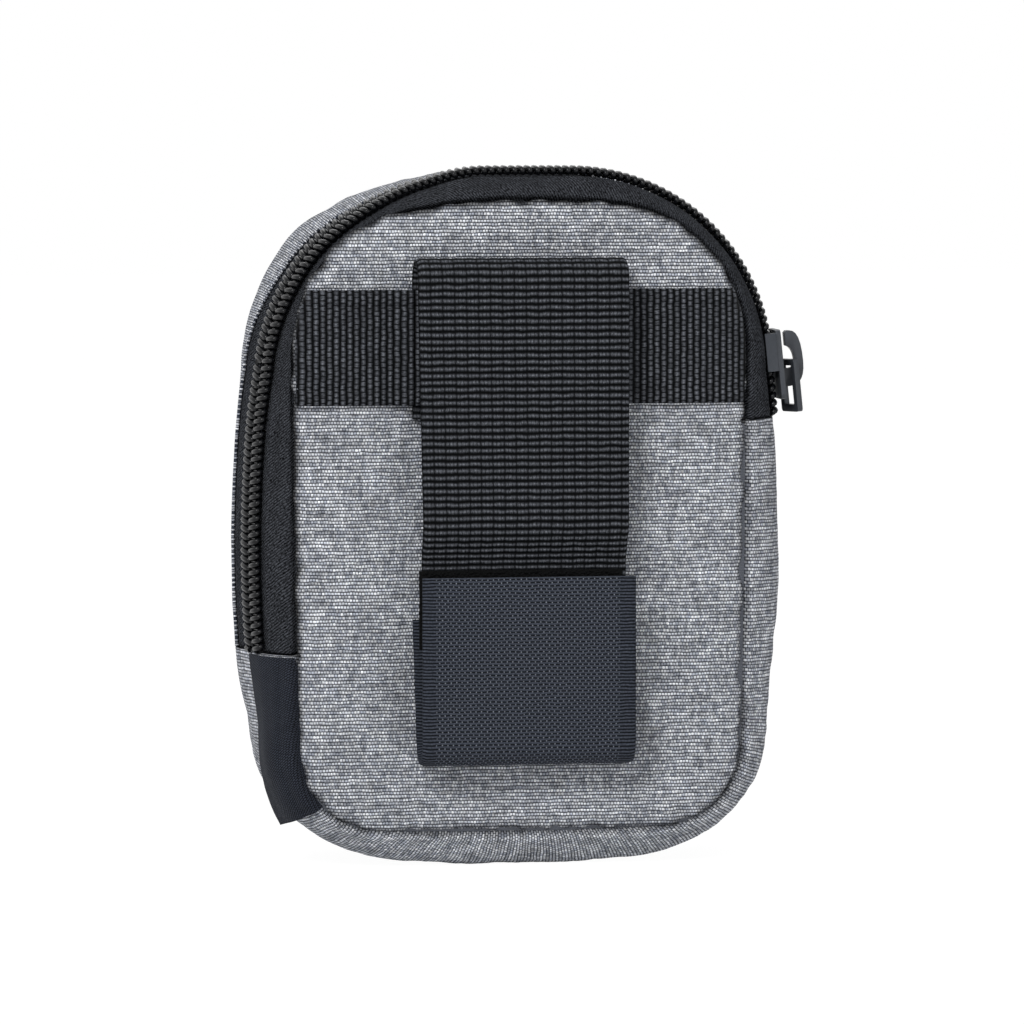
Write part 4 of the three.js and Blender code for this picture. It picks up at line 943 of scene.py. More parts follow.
class PouchFrontPanel(Operator):
    """Cloth, foam, lining and seam binding of the front, each in one piece across the lid's fold"""

    bl_idname = "pouch.front_panel"
    bl_label = "Front panel"

    def execute(self, context):
        size = context.scene.pouch_body
        grow = size.front_growth
        x, z, distance, way, share = panel_grid(grow, front=True)
        crown = size.front_crown * (1 - share**2)
        lift = crown + edge_lift(distance, way, 31.0) * 0.8
        outer = np.stack([x, FRONT + lift, z], 2)[::-1]
        weave = (x[::-1] / MM + WEAVE_START, z[::-1] / MM, seam_shade(distance[::-1] / MM))
        cloth = sheet("front_cloth", outer, size.cloth, finish_of(heather_polyester), weave)
        bend_with_lid(cloth, "grey_cloth", "front_panel_lower", "lid_panel")
        foam = finish_of(foam_polyurethane)
        pad = flat_layer("front_pad", grow - inset_of("back_foam"), *layer_depths("back_foam"), foam, True)
        bend_with_lid(pad, "foam", "front_foam_lower", "lid_foam")
        inset = inset_of("back_lining")
        taffeta = finish_of(lining_taffeta)
        depths = layer_depths("back_lining")
        lining = flat_layer("front_lining_cloth", grow - inset, *depths, taffeta, True, LINING_WRINKLE)
        bend_with_lid(lining, "lining", "front_lining_lower", "lid_lining")
        low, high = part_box("front_seam_binding")
        edges = panel_outline(grow - inset), panel_outline(grow - inset - BINDING_WIDTH)
        tape = binding("front_binding_tape", *edges, (low.y, high.y), front=True)
        bend_with_lid(tape, "zip_tape", "front_seam_binding", "lid_seam_binding")
        return {"FINISHED"}


# Gussets and tapes round the edge. The front gusset is cut along the warp, whose threads lie closer.
SEAM_DIP = 1.9 * MM
WARP_COUNT = 1.4
ROUND_STEPS = 18
ZIP_END_GAP = 0.3
LINING_INSET = 1.0 * MM
LOWER_SEAM_SEED = 41.0


def zip_ends():
    """The places on the way round where the zip starts and ends, and a small gap there."""
    size = bpy.context.scene.pouch_body
    zips = bpy.context.scene.pouch_zip
    return zips.right_end_angle, HALF_TURN + (size.high_centre - zips.left_end) / MM, ZIP_END_GAP


def over_columns(ways, count):
    """Places on the way round, repeated over the columns of a grid."""
    return np.tile(ways[:, None], (1, count))


def leaning(ways, depth):
    """How far cloth stands out past the solid's level, with the tape sloping back on the left."""
    zips = bpy.context.scene.pouch_zip
    left_end = zip_ends()[1]
    sloped = stretch(ways, SHOULDER_START, 45, left_end, 26)
    shoulder = stretch(ways, SHOULDER_START, 35, 145, 35)
    behind = np.clip(depth, -14 * MM, -1 * MM) + zips.pivot
    slope = zips.lean * sloped * behind * np.where(depth > -1 * MM, ease((12 * MM - depth) / (13 * MM)), 1)
    full = zips.fullness * sloped * ease((depth + 5 * MM) / (6 * MM)) * ease((16 * MM - depth) / (12 * MM))
    size = bpy.context.scene.pouch_body
    way = np.mod(ways, whole_way())
    top = zips.top_drop * stretch(way, 97, 14, 116, 26)
    under = np.abs(np.abs(way - HALF_TURN - straight_run() - QUARTER_TURN) - 40) / 24
    heels = size.heel_lift * (1 - ease(under)) * (way > HALF_TURN + straight_run())
    return slope + full - top - heels - zips.drawn_in * shoulder * ease((4 * MM - depth) / (6 * MM))


def round_edge(seam, level, turns):
    """Reach and depth inside the panel's face on the round edge from a seam to the body's level."""
    size = bpy.context.scene.pouch_body
    out = seam + (level - seam) * np.sin(turns)
    return out, size.gusset_round * (1 - np.cos(turns)) + 0 * out


def edge_profile(across, way, seed, ridge=0.45):
    """How far cloth stands out beside a seam: it dips into the seam, rises over the allowance and puckers."""
    size = bpy.context.scene.pouch_body
    wave = rough(way / 4.2, across / 12, seed) + 0.6 * rough(way / 2.0, across / 7, seed + 2)
    swell = 0.6 + 0.8 * rough(way / 9.0, 0 * way, seed + 5)
    shape = -np.exp(-((across / 0.55) ** 2)) * SEAM_DIP / MM
    shape += ridge * swell * np.exp(-(((across - 1.5) / 0.8) ** 2))
    shape -= 0.35 * ridge * np.exp(-(((across - 3.1) / 0.5) ** 2))
    puckers = size.pucker * 0.55 * wave * np.exp(-across / 6.0) * (1 - np.exp(-across))
    return shape * MM + puckers


def shaped(points, lift, closed=False):
    """Points moved out along their normals."""
    return points + normals_of(points, closed) * lift[..., None]


def across_of(points):
    """Distance in millimetres across each row of a grid from its first column."""
    steps = np.linalg.norm(np.diff(points, axis=1), axis=2) / MM
    return np.concatenate([np.zeros((points.shape[0], 1)), np.cumsum(steps, 1)], 1)


def gusset_points(ways, lining=0.0, from_depth=None):
    """The gusset's face: from the back seam, or from a depth, round to the front seam."""
    size = bpy.context.scene.pouch_body
    places = stations(ways)
    level = body_level(places, size.gusset_proud - lining)
    front_seam = reach(panel_outline(size.front_growth - size.seam_tuck - lining), places)[:, None]
    turns = np.linspace(0, math.pi / 2, ROUND_STEPS)[None, :]
    front_out, front_in = round_edge(front_seam, level, turns[:, ::-1])
    if from_depth is None:
        back_seam = seam_reach(-size.seam_tuck - lining, ways, places)[:, None]
        back_out, back_in = round_edge(back_seam, level, turns)
        starts = BACK + back_in
        first_out = back_out
        first_flat = BACK + size.gusset_round
    else:
        starts = np.zeros((len(ways), 1)) + from_depth
        first_out = level
        first_flat = starts
    share = np.linspace(0, 1, ROUND_STEPS)[None, 1:-1]
    flat = first_flat + (FRONT - size.gusset_round - first_flat) * share + 0 * level
    out = np.concatenate([first_out, np.repeat(level, flat.shape[1], 1), front_out], 1)
    depth = np.concatenate([starts, flat, FRONT - front_in], 1)
    seams = np.where(depth < 0, first_out[:, :1] if from_depth is None else 0, front_seam)
    share = np.clip((out - seams) / (level - seams), 0, 1)
    out = out + leaning(over_columns(ways, out.shape[1]), depth) * share
    return stand_up(places, out, depth + np.sign(-depth) * lining)


def gusset_waves(way, across):
    """The slow waves of the lower gusset, which the side tab follows."""
    return 0.45 * MM * rough(way / 19.0, across / 11.0, 3.0)


def from_seam(points, both=False):
    """Distances in millimetres from the seam or seams that a grid's columns are tucked into."""
    tuck = bpy.context.scene.pouch_body.seam_tuck / MM
    across = across_of(points)
    near = np.maximum(across - tuck, 0)
    far = np.maximum(across[:, -1:] - across - tuck, 0)
    return (near, far) if both else near


def ways_between(start, end, step=0.6):
    """Places on the way round, listed backwards so that a grid over them faces outwards."""
    return np.linspace(end, start, int((end - start) / step) + 1)


class PouchGussets(Operator):
    """Cloth and lining round the edge, below the zip and in front of it"""

    bl_idname = "pouch.gussets"
    bl_label = "Gussets"

    def execute(self, context):
        size = context.scene.pouch_body
        zips = context.scene.pouch_zip
        heather, taffeta = finish_of(heather_polyester), finish_of(lining_taffeta)
        right_end, left_end, gap = zip_ends()
        last = whole_way() + right_end
        ways = ways_between(left_end, last)
        points = gusset_points(ways)
        across = across_of(points)
        near, far = from_seam(points, both=True)
        way = over_columns(ways, points.shape[1])
        lift = edge_profile(near, way, LOWER_SEAM_SEED) + edge_profile(far, way, 47.0)
        lift += gusset_waves(way, across)
        lift *= np.clip((np.minimum(way - left_end, last - way) + 1.0) / 3.0, 0.2, 1)
        weave = (*lengths_of(points), seam_shade(near) + seam_shade(far))
        lower = sheet("lower_gusset_cloth", shaped(points, lift), size.cloth, heather, weave)
        stand_for(lower, "pouch", "grey_cloth", "lower_gusset")
        inside = gusset_points(ways_between(left_end, last, 2.0), LINING_INSET)
        lining = sheet("lower_gusset_lining_cloth", inside, size.lining, taffeta)
        stand_for(lining, "pouch", "lining", "lower_gusset_lining")

        first, last = right_end + gap, left_end - gap
        ways = ways_between(first, last)
        shoulder = stretch(ways, SHOULDER_START, 14, 140, 34)[:, None]
        start = zips.gusset_far + (zips.gusset_near - zips.gusset_far) * shoulder
        points = gusset_points(ways, from_depth=start)
        across = across_of(points)
        far = from_seam(points, both=True)[1]
        way = over_columns(ways, points.shape[1])
        lift = edge_profile(far, way, 53.0)
        lift += 0.35 * MM * rough(way / 8.0, across / 14.0, 61.0) * np.clip(across / 3, 0, 1)
        cross, along = lengths_of(points)
        weave = (cross, along * WARP_COUNT, seam_shade(far))
        front = sheet("front_gusset_cloth", shaped(points, lift), size.cloth, heather, weave)
        bend_with_lid(front, "grey_cloth", "front_gusset_right", "front_gusset_left", "lid_gusset")
        inside = gusset_points(ways_between(first, last, 1.0), LINING_INSET, zips.front_end + 0.3 * MM)
        lining = sheet("front_gusset_lining_cloth", inside, size.lining, taffeta)
        nodes = ("front_gusset_lining_right", "front_gusset_lining_left", "lid_gusset_lining")
        bend_with_lid(lining, "lining", *nodes)
        return {"FINISHED"}


# Zip
TAPE_DIP = 2.2 * MM
TAPE_EDGE = 0.5 * MM
COIL_STAND_OFF = 0.1 * MM
COIL_STEPS = 16
WIRE_SIDES = 8


def chain_depths():
    """Depths of the back coil's middle and the front coil's middle."""
    boxes = [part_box(node) for node in ("zip_coil_back", "zip_coil_lid")]
    return [(low.y + high.y) / 2 for low, high in boxes]


def tape_points(ways):
    """The back tape's face: out of the back seam, over a soft roll, and flat under the coil."""
    size = bpy.context.scene.pouch_body
    zips = bpy.context.scene.pouch_zip
    places = stations(ways)
    level = body_level(places)
    seam = seam_reach(-size.seam_tuck, ways, places)[:, None]
    back_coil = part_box("zip_coil_back")
    flat_from = back_coil[0].y - zips.tape_margin
    flat_to = back_coil[1].y + TAPE_EDGE
    share = np.linspace(0, 1, 26)[None, :]
    turn = share * math.pi / 2
    bow = np.sin(turn) * 0.45 + share * 0.55
    out = seam + (level - seam) * bow
    depth = BACK + (flat_from - BACK) * ((1 - np.cos(turn)) * 0.45 + share * 0.55) + 0 * out
    flat = np.linspace(flat_from, flat_to, 8)[1:]
    out = np.concatenate([out, np.repeat(level, len(flat), 1)], 1)
    depth = np.concatenate([depth, np.tile(flat, (len(ways), 1))], 1)
    share = (out - seam) / (level - seam)
    out = out + leaning(over_columns(ways, out.shape[1]), depth) * share
    return stand_up(places, out, depth)


def loops(start, end):
    """Places along the chain, evenly spaced and a fixed number to each loop of the coil."""
    zips = bpy.context.scene.pouch_zip
    ways = np.arange(start, end, 0.2)
    places = stations(ways)
    line = stand_up(places, body_level(places), 0.0)[:, 0]
    lengths = np.concatenate([[0], np.cumsum(np.linalg.norm(np.diff(line, axis=0), axis=1))])
    even = np.arange(0, lengths[-1], zips.coil_pitch / COIL_STEPS)
    return np.interp(even, lengths, ways)


def coil(name, start, end, depth, hand, phase):
    """One half of the chain: a flattened helix of nylon wire, its loop heads towards the other half."""
    zips = bpy.context.scene.pouch_zip
    ways = loops(start, end)
    places = stations(ways)
    turn = -(np.arange(len(ways)) / COIL_STEPS + phase) * math.tau
    wire = zips.coil_wire / 2
    half_width = zips.coil_width / 2 - wire
    half_height = zips.coil_height / 2 - wire
    squared = np.sign(np.cos(turn)) * np.abs(np.cos(turn)) ** 0.75
    y = depth + hand * half_width * squared
    level = reach(body_outline(0), places) + leaning(ways, y) + zips.coil_height / 2 + COIL_STAND_OFF
    out = level + half_height * np.sin(turn)
    line = stand_up(places, out[:, None], y[:, None])[:, 0]
    tangent = np.gradient(line, axis=0)
    tangent /= np.linalg.norm(tangent, axis=1, keepdims=True)
    run = np.stack([-places[2], 0 * ways, places[1]], 1)
    side = np.cross(tangent, run)
    side /= np.linalg.norm(side, axis=1, keepdims=True)
    other = np.cross(tangent, side)
    around = np.arange(WIRE_SIDES) * 2 * math.pi / WIRE_SIDES
    ring = side[:, None] * np.cos(around)[None, :, None] + other[:, None] * np.sin(around)[None, :, None]
    points = line[:, None] + ring * wire
    rows = len(ways)
    faces = grid_faces(rows, WIRE_SIDES, closed_cols=True).tolist()
    cap = np.arange(WIRE_SIDES)
    faces += [cap[::-1].tolist(), (cap + (rows - 1) * WIRE_SIDES).tolist()]
    turned, round_wire = over_columns(turn, WIRE_SIDES), np.tile(around, (rows, 1))
    weave = np.stack([turned, round_wire, 0 * round_wire], 2)
    return mesh_object(name, points.reshape(-1, 3), faces, weave.reshape(-1, 3), finish_of(coil_nylon))


class PouchZip(Operator):
    """Both tapes and both halves of the coil"""

    bl_idname = "pouch.zip"
    bl_label = "Zip"

    def execute(self, context):
        zips = context.scene.pouch_zip
        right_end, left_end, gap = zip_ends()
        twill = finish_of(zip_tape_twill)
        ways = ways_between(right_end + gap, left_end - gap)
        points = tape_points(ways)
        across = across_of(points)
        way = over_columns(ways, points.shape[1])
        weave = lengths_of(points)
        points = shaped(points, 0.3 * MM * rough(way / 6.0, across / 5.0, 71.0) * np.exp(-across / 5))
        points[..., 1] += TAPE_DIP * np.exp(-((from_seam(points) / 0.95) ** 2))
        back = sheet("zip_tape_back_cloth", points, zips.tape, twill, weave)
        stand_for(back, "pouch", "zip_tape", "zip_tape_back")
        places = stations(ways)
        front_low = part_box("zip_coil_lid")[0].y - TAPE_EDGE
        depth = np.tile(np.linspace(front_low, zips.front_end, 14), (len(ways), 1))
        level = body_level(places) + leaning(over_columns(ways, 14), depth)
        points = stand_up(places, level, depth)
        front = sheet("zip_tape_front_cloth", points, zips.tape, twill, lengths_of(points))
        bend_with_lid(front, "zip_tape", "zip_tape_front_right", "zip_tape_front_left", "zip_tape_lid")

        back_depth, front_depth = chain_depths()
        for node, body, start, end in (
            ("zip_coil_back", "pouch", right_end, left_end),
            ("zip_coil_lid", "lid", zips.lid_right, zips.lid_left),
            ("zip_coil_front_right", "pouch", right_end, zips.lid_right),
            ("zip_coil_front_left", "pouch", zips.lid_left, left_end),
        ):
            place = (back_depth, 1, 0) if node == "zip_coil_back" else (front_depth, -1, 0.5)
            stand_for(coil(node + "_wire", start + gap, end - gap, *place), body, "coil", node)
        return {"FINISHED"}


WELD_DISTANCE = 0.01 * MM
CAST_EDGE = 0.24 * MM


class PouchSlider(Operator):
    """The cast slider with its hook, and a mirrored copy of the puller, with soft edges"""

    bl_idname = "pouch.slider"
    bl_label = "Slider and puller"

    def execute(self, context):
        for name, body in (("zip_slider", "slider"), ("zip_puller", "puller")):
            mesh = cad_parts[name].data.copy()
            if name == "zip_puller":
                sides = [corner[1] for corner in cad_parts[name].bound_box]
                across = Matrix.Translation((0, min(sides) + max(sides), 0))
                mesh.transform(across @ Matrix.Diagonal((1, -1, 1, 1)))
                mesh.flip_normals()
            mesh.materials.clear()
            mesh.materials.append(finish_of(slider_lacquer))
            mesh.polygons.foreach_set("use_smooth", np.ones(len(mesh.polygons), bool))
            piece = bpy.data.objects.new(name + "_cast", mesh)
            context.scene.collection.objects.link(piece)
            weld = piece.modifiers.new("weld", "WELD")
            weld.merge_threshold = WELD_DISTANCE
            edge = piece.modifiers.new("soft_edges", "BEVEL")
            edge.width = CAST_EDGE
            edge.segments = 3
            edge.limit_method = "ANGLE"
            edge.angle_limit = math.radians(30)
            edge.harden_normals = True
            stand_for(piece, body, "slider_metal", name)
        return {"FINISHED"}


# Belt loop
PATH_POINTS = 24
WEBBING_STEP = 0.27 * MM
HOOK_TRIM = 0.3 * MM


def along_path(path, step):
    """Points about evenly spaced along a line of stand-off and height."""
    lengths = np.concatenate([[0], np.cumsum(np.linalg.norm(np.diff(path, axis=0), axis=1))])
    even = np.linspace(0, lengths[-1], int(lengths[-1] / step) + 1)
    return np.stack([np.interp(even, lengths, path[:, i]) for i in (0, 1)], 1), even


def smooth_line(points, rounds):
    """A line with its kinks eased, its ends kept."""
    line = points.copy()
    for _ in range(rounds):
        line[1:-1] = (line[:-2] + 2 * line[1:-1] + line[2:]) / 4
    return line


def band(name, path, thickness, half_width, step, relief, material, hand=1, shift=None):
    """A strip that follows a path of stand-off and height: its outer face carries a relief."""
    line, even = along_path(path, step)
    line = smooth_line(line, 12)
    across = np.linspace(-half_width, half_width, int(2 * half_width / step) + 1) * hand
    x = np.tile(across, (len(line), 1))
    x = x + (0 if shift is None else shift(even[:, None], across[None, :]))
    y, z = (np.repeat(values, len(across), 1) for values in (BACK - line[:, :1], line[:, 1:]))
    centre = np.stack([x, y, z], 2)
    normal = normals_of(centre, False)
    u = np.tile((across * hand + half_width) / MM, (len(line), 1))
    v = over_columns(even / MM, len(across))
    edge = half_width - np.abs(across)[None, :]
    thin = 1 - 0.55 * np.exp(-((edge / (0.45 * MM)) ** 2))
    lift = relief(u, v)
    outer = centre + normal * (thickness / 2 * thin + lift)[..., None]
    inner = centre - normal * (thickness / 2 * thin)[..., None]
    return sheet_between(name, outer, inner, (u, v), material)


def ribs(along, across):
    """The relief of ribbed webbing: round ribs across it, parted into bundles of threads."""
    size = bpy.context.scene.pouch_loop
    rib = np.abs(np.sin(np.pi * along * MM / size.rib_pitch)) ** 0.7
    bundle = np.abs(np.sin(np.pi * across * MM / size.rib_group)) ** 0.3
    thread = 0.8 + 0.2 * np.abs(np.sin(3 * np.pi * across * MM / size.rib_group))
    return size.rib_height * (rib * bundle * thread - 0.6)


def strap_path():
    """From the bottom of the sewn leg up over the fold, down the free leg and in under the flap."""
    size = bpy.context.scene.pouch_loop
    inner = size.leg_gap + size.webbing / 2
    outer = size.strap_stand_off - size.webbing / 2
    tuck = size.tuck_stand_off - size.webbing / 2
    radius = (outer - inner) / 2
    fold_z = size.strap_top - size.webbing / 2 - radius
    share = np.linspace(0, 1, PATH_POINTS)[:, None]
    curve_z = size.strap_straight_end + (size.tuck_top - size.strap_straight_end) * share
    curve_u = outer + (tuck - outer) * ease(share)
    return np.concatenate([
        [(inner, size.strap_leg_bottom)],
        arc(inner + radius, fold_z, radius, HALF_TURN, 0, PATH_POINTS),
        np.concatenate([curve_u, curve_z], 1),
        [(tuck, size.strap_end)],
    ])


def hook_path():
    """From the top of the sewn leg down round the fold and up the flap."""
    size = bpy.context.scene.pouch_loop
    inner = size.leg_gap + size.hook_tape / 2
    outer = size.hook_stand_off - size.hook_tape / 2
    radius = (outer - inner) / 2
    fold_z = size.hook_fold + size.hook_tape / 2 + radius
    return np.concatenate([
        [(inner, size.hook_leg_top)],
        arc(inner + radius, fold_z, radius, -HALF_TURN, 0, PATH_POINTS),
        [(outer, size.hook_top)],
    ])


class PouchBeltLoop(Operator):
    """The folded strap with its looped pile, and the hook tape folded up over its end"""

    bl_idname = "pouch.belt_loop"
    bl_label = "Belt loop"

    def strap_shift(self, along, across):
        """The strap stands left of the middle, and its left edge draws in towards its end."""
        size = bpy.context.scene.pouch_loop
        drawn = 0.6 * MM + 1.1 * MM * np.clip((along - 38 * MM) / (50 * MM), 0, 1)
        return drawn * np.clip(0.5 - across / size.strap_width, 0, 1) - size.strap_aside

    def execute(self, context):
        size = context.scene.pouch_loop
        path = strap_path()
        strap = band(
            "belt_strap_webbing", path, size.webbing, size.strap_width / 2, WEBBING_STEP,
            lambda u, v: ribs(v, u), finish_of(strap_webbing), shift=self.strap_shift,
        )
        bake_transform(strap)
        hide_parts("strap_inner_leg", "belt_strap")

        low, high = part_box("strap_loop_patch")
        out = (BACK - low.y + BACK - high.y) / 2
        pile = band(
            "strap_pile", np.array([(out, high.z), (out, low.z)]), size.loop_patch * 0.8,
            size.loop_patch_width / 2, 0.5 * MM, lambda u, v: 0.18 * MM * rough(u / 0.9, v / 0.9, 2.0),
            finish_of(pile_nylon), shift=lambda along, across: 0 * along - size.strap_aside,
        )
        stand_for(pile, "strap", "loop_pile", "strap_loop_patch")

        path = hook_path()
        hook = band(
            "hook_tape_strip", path, size.hook_tape, size.hook_width / 2 - HOOK_TRIM, 0.3 * MM,
            lambda u, v: 0.05 * MM * np.abs(np.sin(np.pi * v * MM / size.hook_rib)),
            finish_of(hook_tape_weave), hand=-1,
            shift=lambda along, across: -0.7 * MM * np.clip(1 - along / (22 * MM), 0, 1),
        )
        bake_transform(hook)
        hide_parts("hook_tape_inner_leg", "hook_flap")
        return {"FINISHED"}


class PouchCrossWebbing(Operator):
    """The narrower webbing sewn across the back, over the strap's sewn leg"""

    bl_idname = "pouch.cross_webbing"
    bl_label = "Cross webbing"

    def execute(self, context):
        size = context.scene.pouch_loop
        half_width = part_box("cross_webbing")[1].x
        top = size.cross_bottom + size.cross_width
        heights = np.linspace(size.cross_bottom, top, int(size.cross_width / WEBBING_STEP) + 1)
        outline = panel_outline(-0.2 * MM)
        right = outline[outline[:, 0] > 0]
        right = right[np.argsort(right[:, 1])]
        ends = np.interp(heights, right[:, 1], right[:, 0])
        share = np.linspace(-1, 1, int(2 * half_width / WEBBING_STEP) + 1)
        x = share[:, None] * ends[None, :]
        z = np.tile(heights, (len(share), 1))
        distance = ends[None, :] - np.abs(x)
        beyond = np.abs(x + size.strap_aside) - size.strap_width / 2
        over = ease((size.cross_ramp - beyond) / size.cross_ramp)
        base = size.leg_gap + (size.webbing + size.leg_gap) * over
        swell = context.scene.pouch_body.back_crown * (1 - np.exp(-distance / CROWN_RISE))
        roll = EDGE_ROLL * np.exp(-distance / EDGE_ROLL_WIDTH)
        middle = BACK - base - size.webbing / 2 - swell * beside_loop(x) + roll
        edge = np.minimum(z - size.cross_bottom, top - z)
        thin = 1 - 0.5 * np.exp(-((edge / (0.45 * MM)) ** 2))
        sewn = -0.32 * MM * np.exp(-(((edge - 2.9 * MM) / (0.32 * MM)) ** 2))
        lift = ribs(x / MM + WEAVE_START, (z - size.cross_bottom) / MM) + sewn
        outer = np.stack([x, middle - size.webbing / 2 * thin - lift, z], 2)
        inner = np.stack([x, middle + size.webbing / 2 * thin, z], 2)
        weave = (x / MM + WEAVE_START, (z - size.cross_bottom) / MM)
        webbing = sheet_between("cross_webbing_band", outer, inner, weave, finish_of(cross_band_webbing))
        stand_for(webbing, "pouch", "webbing", "cross_webbing")
        return {"FINISHED"}


class PouchSideTab(Operator):
    """The plain woven tab in the left seam"""

    bl_idname = "pouch.side_tab"
    bl_label = "Side tab"

    def execute(self, context):
        body = context.scene.pouch_body
        size = context.scene.pouch_loop
        _, left_end, gap = zip_ends()
        end = HALF_TURN + straight_run() + 28
        ways = ways_between(left_end + gap, end, 0.5)
        places = stations(ways)
        level = body_level(places, body.gusset_proud)
        seam = seam_reach(-body.seam_tuck, ways, places)[:, None]
        turns = np.radians(np.linspace(2, 90, 26))[None, :]
        out, depth = round_edge(seam, level, turns)
        flat = body.gusset_round + np.linspace(0, size.tab_over, 8)[None, 1:] + 0 * level
        out = np.concatenate([out, level + 0 * flat], 1)
        depth = np.concatenate([depth, flat], 1)
        share = (out - seam) / (level - seam)
        way = over_columns(ways, out.shape[1])
        points = stand_up(places, out + leaning(way, BACK + depth) * share, BACK + depth)
        across = across_of(points)
        lift = edge_profile(from_seam(points), way, LOWER_SEAM_SEED) + size.tab_clear
        lift += gusset_waves(way, across)
        towards_end = np.clip((way - (end - 26)) / 26, 0, 1)
        lift += 2.2 * MM * towards_end**2 * np.clip(across / across[:, -1:], 0, 1) ** 2
        tab = sheet("side_tab_tape", shaped(points, lift), size.tab, finish_of(tab_twill), lengths_of(points))
        stand_for(tab, "pouch", "tab", "side_tab")
        return {"FINISHED"}


# Stage
FLOOR_HALF = 3.0
LIGHT_TARGET = Vector((0, BACK, 0.06))
SENSOR_WIDTH = 36


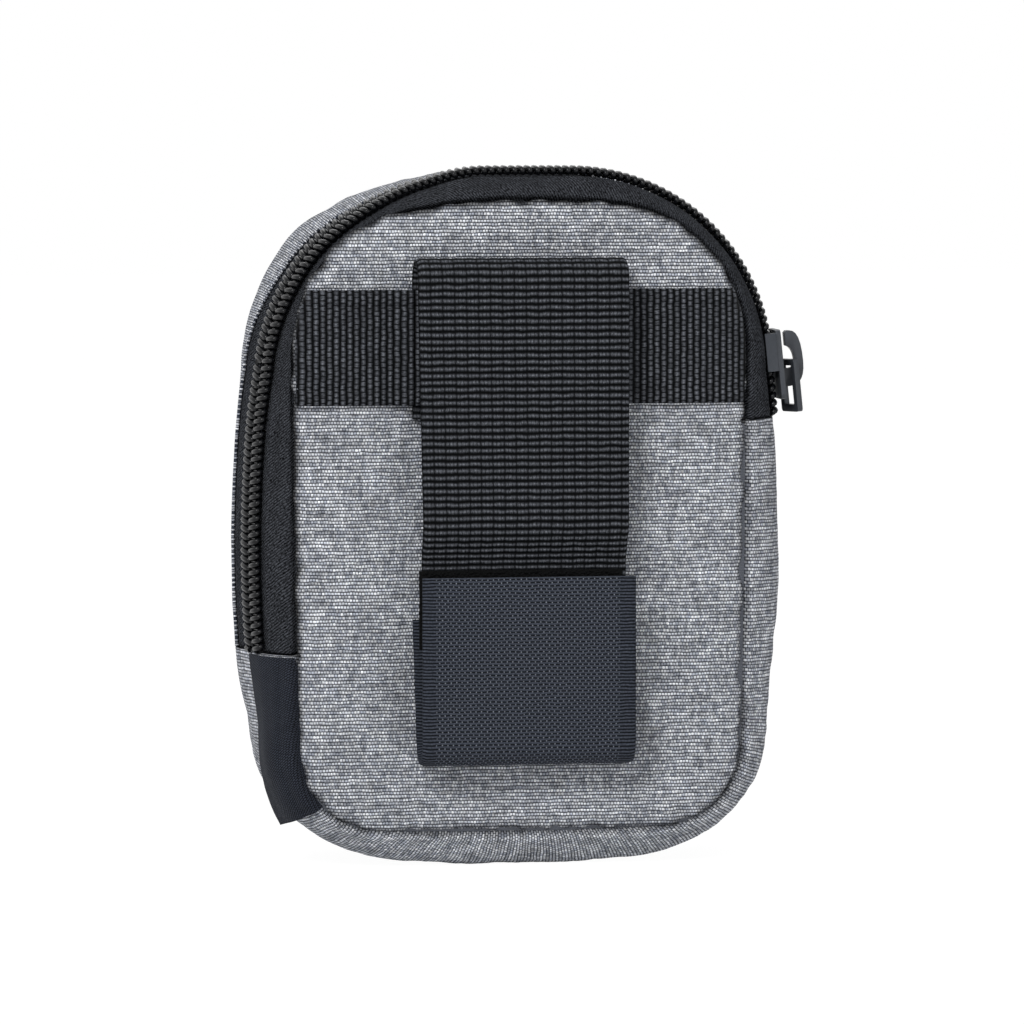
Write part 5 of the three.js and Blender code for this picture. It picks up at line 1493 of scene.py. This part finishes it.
class PouchStageSetup(Operator):
    """The pale floor, the soft studio light and the camera"""

    bl_idname = "pouch.stage_setup"
    bl_label = "Stage, light and camera"

    def execute(self, context):
        scene = context.scene
        stage = scene.pouch_stage
        scene.view_settings.view_transform = "Standard"
        self.make_floor(scene)
        self.make_lights(scene, stage)
        self.make_camera(scene, stage)
        return {"FINISHED"}

    def sees_white(self, tree, *kinds):
        """1 for rays of these kinds, which see plain white, and 0 for the rays that carry light."""
        path = add_node(tree, "ShaderNodeLightPath")
        seen = path.outputs[kinds[0]]
        for kind in kinds[1:]:
            seen = add_node(tree, "ShaderNodeMath", {"operation": "MAXIMUM", 0: seen, 1: path.outputs[kind]})
        return seen

    def make_floor(self, scene):
        """A floor that is white to the camera and in reflections, and keeps the pouch's shadow."""
        mesh = bpy.data.meshes.new("floor")
        corners = [(x * FLOOR_HALF, y * FLOOR_HALF, 0) for x, y in ((-1, -1), (1, -1), (1, 1), (-1, 1))]
        mesh.from_pydata(corners, [], [(0, 1, 2, 3)])
        material = bpy.data.materials.new("studio_floor_paint")
        material.use_nodes = True
        tree = material.node_tree
        paint = tree.nodes["Principled BSDF"]
        paint.inputs["Base Color"].default_value = scene.pouch_colours.floor
        paint.inputs["Roughness"].default_value = 0.9
        glow = add_node(tree, "ShaderNodeEmission", {"Color": WHITE, "Strength": 1.08})
        white = self.sees_white(tree, "Is Camera Ray", "Is Glossy Ray")
        share = add_node(tree, "ShaderNodeMath", {"operation": "MULTIPLY", 0: white, 1: 0.9})
        mixed = add_node(tree, "ShaderNodeMixShader", {0: share, 1: paint, 2: glow})
        tree.links.new(mixed.outputs[0], tree.nodes["Material Output"].inputs["Surface"])
        mesh.materials.append(material)
        floor = bpy.data.objects.new("studio_floor", mesh)
        scene.collection.objects.link(floor)

    def make_lights(self, scene, stage):
        """A lamp above and left of the camera, weaker ones right and behind, and even light all round."""
        lamps = (
            ("key", Vector((-0.5, -0.8, 0.75)), 0.36, stage.key_power),
            ("fill", Vector((0.5, -0.85, 0.06)), 0.6, stage.fill_power),
            ("rim", Vector((0.1, 0.55, 0.75)), 0.6, stage.fill_power),
        )
        for name, place, side, power in lamps:
            data = bpy.data.lights.new(name, "AREA")
            data.size = side
            data.energy = power
            lamp = bpy.data.objects.new(name, data)
            lamp.location = place
            lamp.rotation_mode = "QUATERNION"
            lamp.rotation_quaternion = (LIGHT_TARGET - place).to_track_quat("-Z", "Y")
            scene.collection.objects.link(lamp)
        world = bpy.data.worlds.new("studio")
        world.use_nodes = True
        tree = world.node_tree
        lit = tree.nodes["Background"]
        lit.inputs["Color"].default_value = WHITE
        lit.inputs["Strength"].default_value = stage.world
        plain = add_node(tree, "ShaderNodeBackground", {"Color": WHITE, "Strength": 1.0})
        white = self.sees_white(tree, "Is Camera Ray", "Is Glossy Ray", "Is Transmission Ray")
        mixed = add_node(tree, "ShaderNodeMixShader", {0: white, 1: lit, 2: plain})
        tree.links.new(mixed.outputs[0], tree.nodes["World Output"].inputs["Surface"])
        scene.world = world

    def make_camera(self, scene, stage):
        """A long lens at the photograph's angle."""
        turn, rise = math.radians(stage.azimuth), math.radians(stage.elevation)
        back = Vector((math.sin(turn) * math.cos(rise), -math.cos(turn) * math.cos(rise), math.sin(rise)))
        right = Vector((math.cos(turn), math.sin(turn), 0))
        up = back.cross(right)
        data = bpy.data.cameras.new("camera")
        data.lens = stage.lens
        data.sensor_width = SENSOR_WIDTH
        data.clip_end = 100
        away = stage.frame_width * data.lens / data.sensor_width
        plane = Vector((0, BACK, 0)).dot(back)
        camera = bpy.data.objects.new("camera", data)
        place = right * stage.frame_right + up * stage.frame_up + back * (plane + away)
        roll = Matrix.Rotation(math.radians(stage.roll), 3, "Z")
        aim = Matrix((right, up, back)).transposed() @ roll
        camera.matrix_world = Matrix.Translation(place) @ aim.to_4x4()
        scene.collection.objects.link(camera)
        scene.camera = camera


class PouchPanel(Panel):
    """Lists the pieces and their sizes in the sidebar"""

    bl_idname = "VIEW3D_PT_pouch"
    bl_label = "Belt pouch"
    bl_space_type = "VIEW_3D"
    bl_region_type = "UI"
    bl_category = "Pouch"

    def draw(self, context):
        for operator in PIECES:
            self.layout.operator(operator.bl_idname)
        for group in ("pouch_body", "pouch_zip", "pouch_loop", "pouch_colours", "pouch_stage"):
            box = self.layout.box()
            settings = getattr(context.scene, group)
            for name in settings.__annotations__:
                box.prop(settings, name)


GROUPS = {
    "pouch_body": PouchBodySizes,
    "pouch_zip": PouchZipSizes,
    "pouch_loop": PouchLoopSizes,
    "pouch_colours": PouchColours,
    "pouch_stage": PouchStage,
}
PIECES = (
    PouchStageSetup,
    PouchBackPanel,
    PouchFrontPanel,
    PouchGussets,
    PouchZip,
    PouchSlider,
    PouchBeltLoop,
    PouchCrossWebbing,
    PouchSideTab,
)


def register():
    for name, group in GROUPS.items():
        bpy.utils.register_class(group)
        setattr(bpy.types.Scene, name, PointerProperty(type=group))
    for kind in (*PIECES, PouchPanel):
        bpy.utils.register_class(kind)


def unregister():
    for kind in reversed((*PIECES, PouchPanel)):
        bpy.utils.unregister_class(kind)
    for name, group in reversed(GROUPS.items()):
        delattr(bpy.types.Scene, name)
        bpy.utils.unregister_class(group)


def main():
    """Makes every piece in order."""
    register()
    bpy.ops.pouch.stage_setup()
    bpy.ops.pouch.back_panel()
    bpy.ops.pouch.front_panel()
    bpy.ops.pouch.gussets()
    bpy.ops.pouch.zip()
    bpy.ops.pouch.slider()
    bpy.ops.pouch.belt_loop()
    bpy.ops.pouch.cross_webbing()
    bpy.ops.pouch.side_tab()


if __name__ == "__main__":
    main()
